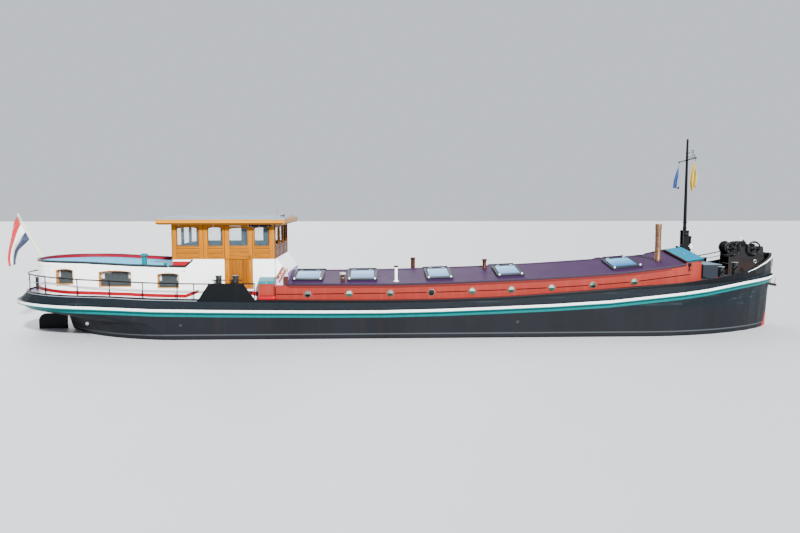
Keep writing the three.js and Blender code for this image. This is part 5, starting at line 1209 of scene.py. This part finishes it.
def windlass_trim():
    """Gear wheels with teeth, brake bands, pawls, crank, hawse rings and the anchor chain."""
    shaft_cap = turned([(0.045, 0), (0.045, 0.03), (0.034, 0.045), (0.003, 0.05)], axis=1, count=20)
    for name, x, radius, teeth, wrap, turns, rim in (("drum", DRUM_X, 0.2, 24, 0.158, 12, 0.222),
                                                     ("wheel", WHEEL_X, 0.13, 16, 0.098, 10, 0.2)):
        body = f"windlass_{name}"
        turn = np.arange(teeth * 4) * 2 * math.pi / (teeth * 4)
        wave = radius + 0.016 * np.tile([0, 1, 1, 0], teeth)
        outline = np.stack([x + wave * np.cos(turn), AXLE_Z + wave * np.sin(turn)], 1)
        band_rows = [(radius + r, y) for r, y in ((0.004, -0.035), (0.012, -0.034), (0.012, 0.034), (0.004, 0.035))]
        piece(f"{name}_gear", [plate(outline, [(0, 0.218), (0, 0.262)], on_side(1)),
                               doughnut((x, -0.24, AXLE_Z), radius * 0.9, 0.02, 1, 32, 8),
                               turned(band_rows, (x, -0.24, AXLE_Z), 1, 32)], "black_gloss", body)
        piece(f"{name}_chain_turns", [doughnut((x, y, AXLE_Z), wrap, 0.012, 1, 28, 6)
                                      for y in np.linspace(-0.16, 0.16, turns)], "worn_iron", body)
        piece(f"{name}_hand_rim", doughnut((x, -0.412, AXLE_Z), rim, 0.024, 1, 40), "hand_wheel_iron", body)
        piece(f"{name}_shaft_caps", [moved(shaft_cap, (x, s * 0.448, AXLE_Z), s) for s in (-1, 1)], "worn_iron", body)
    x, z = WHEEL_X, AXLE_Z
    piece("windlass_crank", [rod((x, 0.46, z), (x, 0.5, z), 0.02), rod((x, 0.49, z), (11.91, 0.49, 2.86), 0.016),
                             rod((11.91, 0.47, 2.86), (11.91, 0.62, 2.86), 0.018)], "black_gloss", "windlass_wheel")
    stays = [rod((x, -0.29, z), (x, 0.29, z), 0.018)
             for x, z in ((11.03, 2.38), (12.08, AXLE_Z), (11.46, 2.32), (11.03, 2.1))]
    stays += [carried(rounded(0.05, 0.03, 0.008), [(11.02, s * 0.315, 2.702), (12.13, s * 0.315, 2.682)])
              for s in (-1, 1)]
    stays += [slab((11.33, 11.4), (s * 0.2 - 0.01, s * 0.2 + 0.01), (2.66, 2.82)) for s in (-1, 1)]
    piece("windlass_stays", [*stays, slab((11.41, 11.64), (-0.16, 0.16), (2.7, 2.86), 0.02)], "black_gloss")
    piece("windlass_lamp", [rod((11.52, 0, 2.85), (11.52, 0, 2.93), 0.02), ball((11.52, 0, 2.95), 0.04)], "white_gloss")
    bolt = turned([(0.016, 0), (0.016, 0.01), (0.006, 0.014)], axis=1, count=6)
    spots = xyz([11.03, 11.4, 11.68, 12.1, 11.03, 12.15], -0.33, [2.45, 2.45, 2.4, 2.4, 2.15, 2.1])
    pair("windlass_bolts", repeated(bolt, spots, -1), "worn_iron")
    piece("hawse_rings", [doughnut((12.36, s * 0.2, 2.12), 0.07, 0.022, 0, 24, 8) for s in (-1, 1)], "black_gloss")
    x = CHAIN_END_X
    run = smooth_path([(11.88, 0.1, 2.69), (12.05, 0.1, 2.67), (12.2, 0.09, 2.6), (12.34, 0.05, 2.46),
                       (12.48, 0.02, 2.4), (12.6, 0.0, 2.36), (x, 0.0, 2.24), (x, 0.0, 2.08), (x, 0, 1.95)], 60)
    piece("anchor_chain", chain(run, 0.042, 0.007, 0.017), "worn_iron")
    piece("anchor_shackle", doughnut((x, 0, 1.93), 0.036, 0.01, 1, 20, 8), "galvanised")


def foredeck_trim():
    """Locker's boards, the painted band inside the bow bulwark, fairlead, and the bollards' worn heads."""
    piece("locker_boards", [slab((10.0 + i * 0.104, 10.1 + i * 0.104), (-0.61, 0.61), (2.088, 2.108))
                            for i in range(6)], "locker_grey")
    xs, proud = np.linspace(9.8, 12.3, 30), [0, 0.006, 0]
    low, top = [deck_line(0.056, lift, xs, DECK) for lift in (0.03, 0.17)]
    pair("bulwark_red_band", skin(np.stack([low, low + proud, top + proud, top], 1)), "signal_red")
    pair("bow_fairlead", doughnut((11.62, -0.83, 2.22), 0.05, 0.014, 1, 20, 8), "galvanised")
    heads = ((-5.77, -2.08, 1.93, 0.09), (-5.26, -2.08, 1.93, 0.09), (10.24, -1.33, 2.08, 0.095),
             (10.8, -1.12, 2.2, 0.095))
    pair("bollard_faces", [turned([(r + 0.012, 0.008), (r + 0.014, 0.014), (r + 0.004, 0.02), (r * 0.5, 0.024),
                                   (0.003, 0.025)], (x, y, z), count=24) for x, y, z, r in heads], "pale_grey")


# Rails and cloth. Stern rail, columns: x, height

RAIL = np.array([[-12.3, 1.93], [-11.11, 1.9], [-9.31, 1.82], [-7.79, 1.74], [-6.05, 1.7], [-4.65, 1.7]])


def rail_wires():
    """A thin lower rail round the stern, clipped to each post."""
    xs = np.concatenate([-12.2 + 1.2 * np.linspace(0, 1, 18) ** 2, np.linspace(-10.9, -4.7, 40)])
    line = deck_line(0.07, 0, xs)
    line[:, 2] = along(RAIL, 1, xs) - 0.215
    pair("stern_lower_rail", carried(circle(0.008, 8), line), "pale_grey")
    clip = turned([(0.018, -0.016), (0.022, -0.014), (0.022, 0.014), (0.018, 0.016)], count=12)
    pair("rail_clips", repeated(clip, sampled(line, xs, (-11.11, -10.0, -9.02, -8.03, -7.0, -6.5))), "pale_grey")


def flat_length(points, width):
    """Length of a draped sheet laid flat: its area over its width."""
    a, b = np.diff(points, axis=0)[:, :-1], np.diff(points, axis=1)[:-1]
    return round(float(np.linalg.norm(np.cross(a, b), axis=-1).sum()) / width, 3)


def cloth_piece(name, points, finish, body):
    """Sheet on a grid of (across, down) points, with its UV map and a real thickness."""
    rows, columns = points.shape[:2]
    grid = np.arange(rows * columns).reshape(rows, columns)
    quads = np.stack([grid[:-1, :-1], grid[1:, :-1], grid[1:, 1:], grid[:-1, 1:]], -1).reshape(-1, 4)
    mesh = bpy.data.meshes.new(name)
    mesh.from_pydata((points.reshape(-1, 3) + DRAFT * UP).tolist(), [], quads.tolist())
    u, v = np.meshgrid(np.linspace(0, 1, rows), np.linspace(0, 1, columns), indexing="ij")
    layer = mesh.uv_layers.new(name="weave")
    layer.data.foreach_set("uv", np.stack([u.ravel()[quads.ravel()], v.ravel()[quads.ravel()]], 1).ravel())
    mesh.polygons.foreach_set("use_smooth", np.ones(len(quads), bool))
    obj = finished(name, mesh, finish, body)
    thick = obj.modifiers.new("cloth", "SOLIDIFY")
    thick.thickness, thick.offset = CLOTH_THICK, 0
    return obj


def wave_height(span, length, waves):
    """Height of a sine fold that takes up a cloth's length over a shorter span, found by halving."""
    phase = np.cos(np.linspace(0, 2 * math.pi, 60))[None]
    low, high = np.zeros(len(span)), np.full(len(span), length / waves)
    for _ in range(24):
        middle = (low + high) / 2
        run = np.sqrt(span[:, None] ** 2 + (2 * math.pi * waves * middle[:, None] * phase) ** 2).mean(1)
        low, high = np.where(run < length, middle, low), np.where(run < length, high, middle)
    return low


def spread(line, count):
    """Points of a smooth line, evenly apart by length."""
    line = smooth_path(line, 80)
    run = lengths(line)
    return sampled(line, run, np.linspace(0, run[-1], count))


STAFF_FOOT, STAFF_RUN = np.array([-11.885, 0.13, 2.1]), np.array([-0.845, 0.0, 1.665])
CLOTH_THICK = 0.0016
# Flags: name, the CAD node replaced, finish, body, what it rests on, y, hoist, waves, droop, and its
# upper and its lower edge as (x, z) from the hoist to the fly
FLAGS = (
    ("ensign_cloth", "ensign", "ensign_cloth", "root", "flagstaff", 0.13, 0.86, 3, 0.02,
     [(-12.79, 3.71), (-12.92, 3.43), (-13.04, 2.94), (-13.15, 2.4), (-13.12, 2.06)],
     [(-12.395, 2.95), (-12.62, 2.76), (-12.8, 2.58), (-12.87, 2.36), (-12.9, 2.13)]),
    ("blue_pennant", "pennant_port", "blue_cloth", "mast", "pennant_halyards", 0.78, 0.4, 2, 0.012,
     [(9.63, 5.44), (9.52, 5.1), (9.46, 4.85), (9.445, 4.68)], [(9.63, 5.06), (9.6, 4.9), (9.585, 4.8), (9.57, 4.665)]),
    ("yellow_pennant", "pennant_starboard", "yellow_cloth", "mast", "pennant_halyards", -0.78, 0.4, 2, 0.012,
     [(9.508, 5.52), (9.4, 5.23), (9.348, 4.82), (9.406, 4.52)], [(9.52, 5.16), (9.6, 5.0), (9.56, 4.82), (9.5, 4.68)]))


def flags():
    """Ensign on its staff and two pennants on their halyards, hanging in folds.

    Each runs between its upper and lower edge, and sine folds that grow from the hoist to the fly
    take up the cloth that the narrowing leaves.
    """
    rows, columns = 56, 48
    u, v = np.linspace(0, 1, rows)[:, None, None], np.linspace(0, 1, columns)
    for name, node, finish, body, rest, y, hoist, waves, droop, *edges in FLAGS:
        top, bottom = [spread([(x, y, z) for x, z in edge], columns) for edge in edges]
        points = top[None] * (1 - u) + bottom[None] * u
        span = np.linalg.norm(bottom - top, axis=1)
        height = wave_height(np.minimum(span, hoist * 0.999), hoist, waves)
        phase = 2 * math.pi * (waves * u[..., 0] + 0.12 * np.sin(5 * v)[None] + 0.1)
        points[..., 1] += height[None] * np.sin(phase) * (v[None] * 6).clip(0, 1)
        points[..., 0] += droop * np.sin(phase + 1.3) * v[None]
        flag = cloth_piece(name, points, finish, body)
        flat_length(points, hoist)
        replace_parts(flag, node)
    rings = [doughnut(STAFF_FOOT + STAFF_RUN * t, 0.022, 0.005, 2, 16, 6) for t in (0.5, 0.72, 0.955)]
    piece("flagstaff_fittings", [*rings, ball((-12.735, 0.13, 3.775), 0.03, 16, 0.8)], "cream_gloss")


def curtain(name, x0, x1, top, side):
    """Short curtain gathered on its rod to a share of its width."""
    rows, columns, full = 40, 8, (x1 - x0) / GATHERED
    u, v = np.linspace(0, 1, rows)[:, None], np.linspace(0, 1, columns)[None]
    waves = max(3, round(full / 0.07))
    height = wave_height(np.array([x1 - x0]), full, waves)[0]
    y = side * CURTAIN_Y + height * np.sin(2 * math.pi * waves * u) * (0.85 + 0.15 * v)
    points = xyz(x0 + (x1 - x0) * u, y, top - CURTAIN_DROP * v)
    cloth_piece(name, points, "curtain_cloth", "root")
    flat_length(points, CURTAIN_DROP)


# Assembly. Finishes of the CAD nodes whose shape is right

DRESSED = {
    "hull_steel": ("hull",), "strake_paint": ("rubbing_strake",),
    "black_gloss": ("bulwark", "side_bulwark_starboard", "side_bulwark_port", "stern_rail_starboard", "stern_rail_port",
                    "bow_rail_port", "mast", "tabernacle", "rudder"),
    "bollard_iron": ("side_bollards_starboard", "side_bollards_port", "bow_bollards_starboard", "bow_bollards_port",
                     "stern_bollard"),
    "anchor_iron": ("anchor",), "bronze_metal": ("propeller",), "white_gloss": ("cabin_walls",),
    "apron_white_painted_shade": ("front_apron",), "cabin_roof": ("aft_roof",), "rim_paint": ("roof_rim",),
    "floor_wood": ("wheelhouse_floor", "steering_wheel", "helm_console"),
    "wall_wood": ("wheelhouse_walls", "door_starboard", "door_port"), "roof_slab": ("wheelhouse_roof",),
    "clear_glass": ("glazing_aft", "glazing_fore", "door_pane_starboard", "door_pane_port"),
    "roof_plum": ("hold_roof",), "hatch_lid": (LID,), "coaming_red": ("hold_coaming", "deck_box"),
    "lilac_grey": ("steps",), "windlass_iron": ("windlass_frame",),
    "hand_wheel_iron": ("windlass_drum", "windlass_wheel"), "locker_paint": ("fore_locker",),
    "cream_gloss": ("flagstaff",), "teal_gloss": ("deck_box_lid",)}


def dress_nodes():
    """Finishes on the CAD nodes whose shape is right."""
    for finish, names in DRESSED.items():
        for name in names:
            for material_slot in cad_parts[name].material_slots:
                material_slot.material = FINISHES[finish].material


def lay_floor():
    """Pale studio floor at the waterline."""
    mesh, reach = bpy.data.meshes.new("floor"), 150.0
    corners = [(x * reach, y * reach, DRAFT) for x, y in ((-1, -1), (1, -1), (1, 1), (-1, 1))]
    mesh.from_pydata(corners, [], [(0, 1, 2, 3)])
    obj = bpy.data.objects.new("floor", mesh)
    f = Finish("floor_pale", "white_paint")
    f.set(Base_Color=f.mix((186, 188, 190), (192, 194, 196), f.noise(0.4)), Roughness=0.55)
    mesh.materials.append(f.material)
    bpy.context.collection.objects.link(obj)


for step in (set_camera, set_light, make_finishes, lay_floor, dress_nodes, hull_trim, cabin_windows, cabin_trim,
             roof_vents, house_sides, house_ends, doors, house_roof, helm_trim, coaming_trim, portholes, skylights,
             roof_trim, hold_vents, fore_hatch, boarding_steps, deck_box_trim, mast_trim, windlass_trim,
             foredeck_trim, rail_wires, flags):
    step()
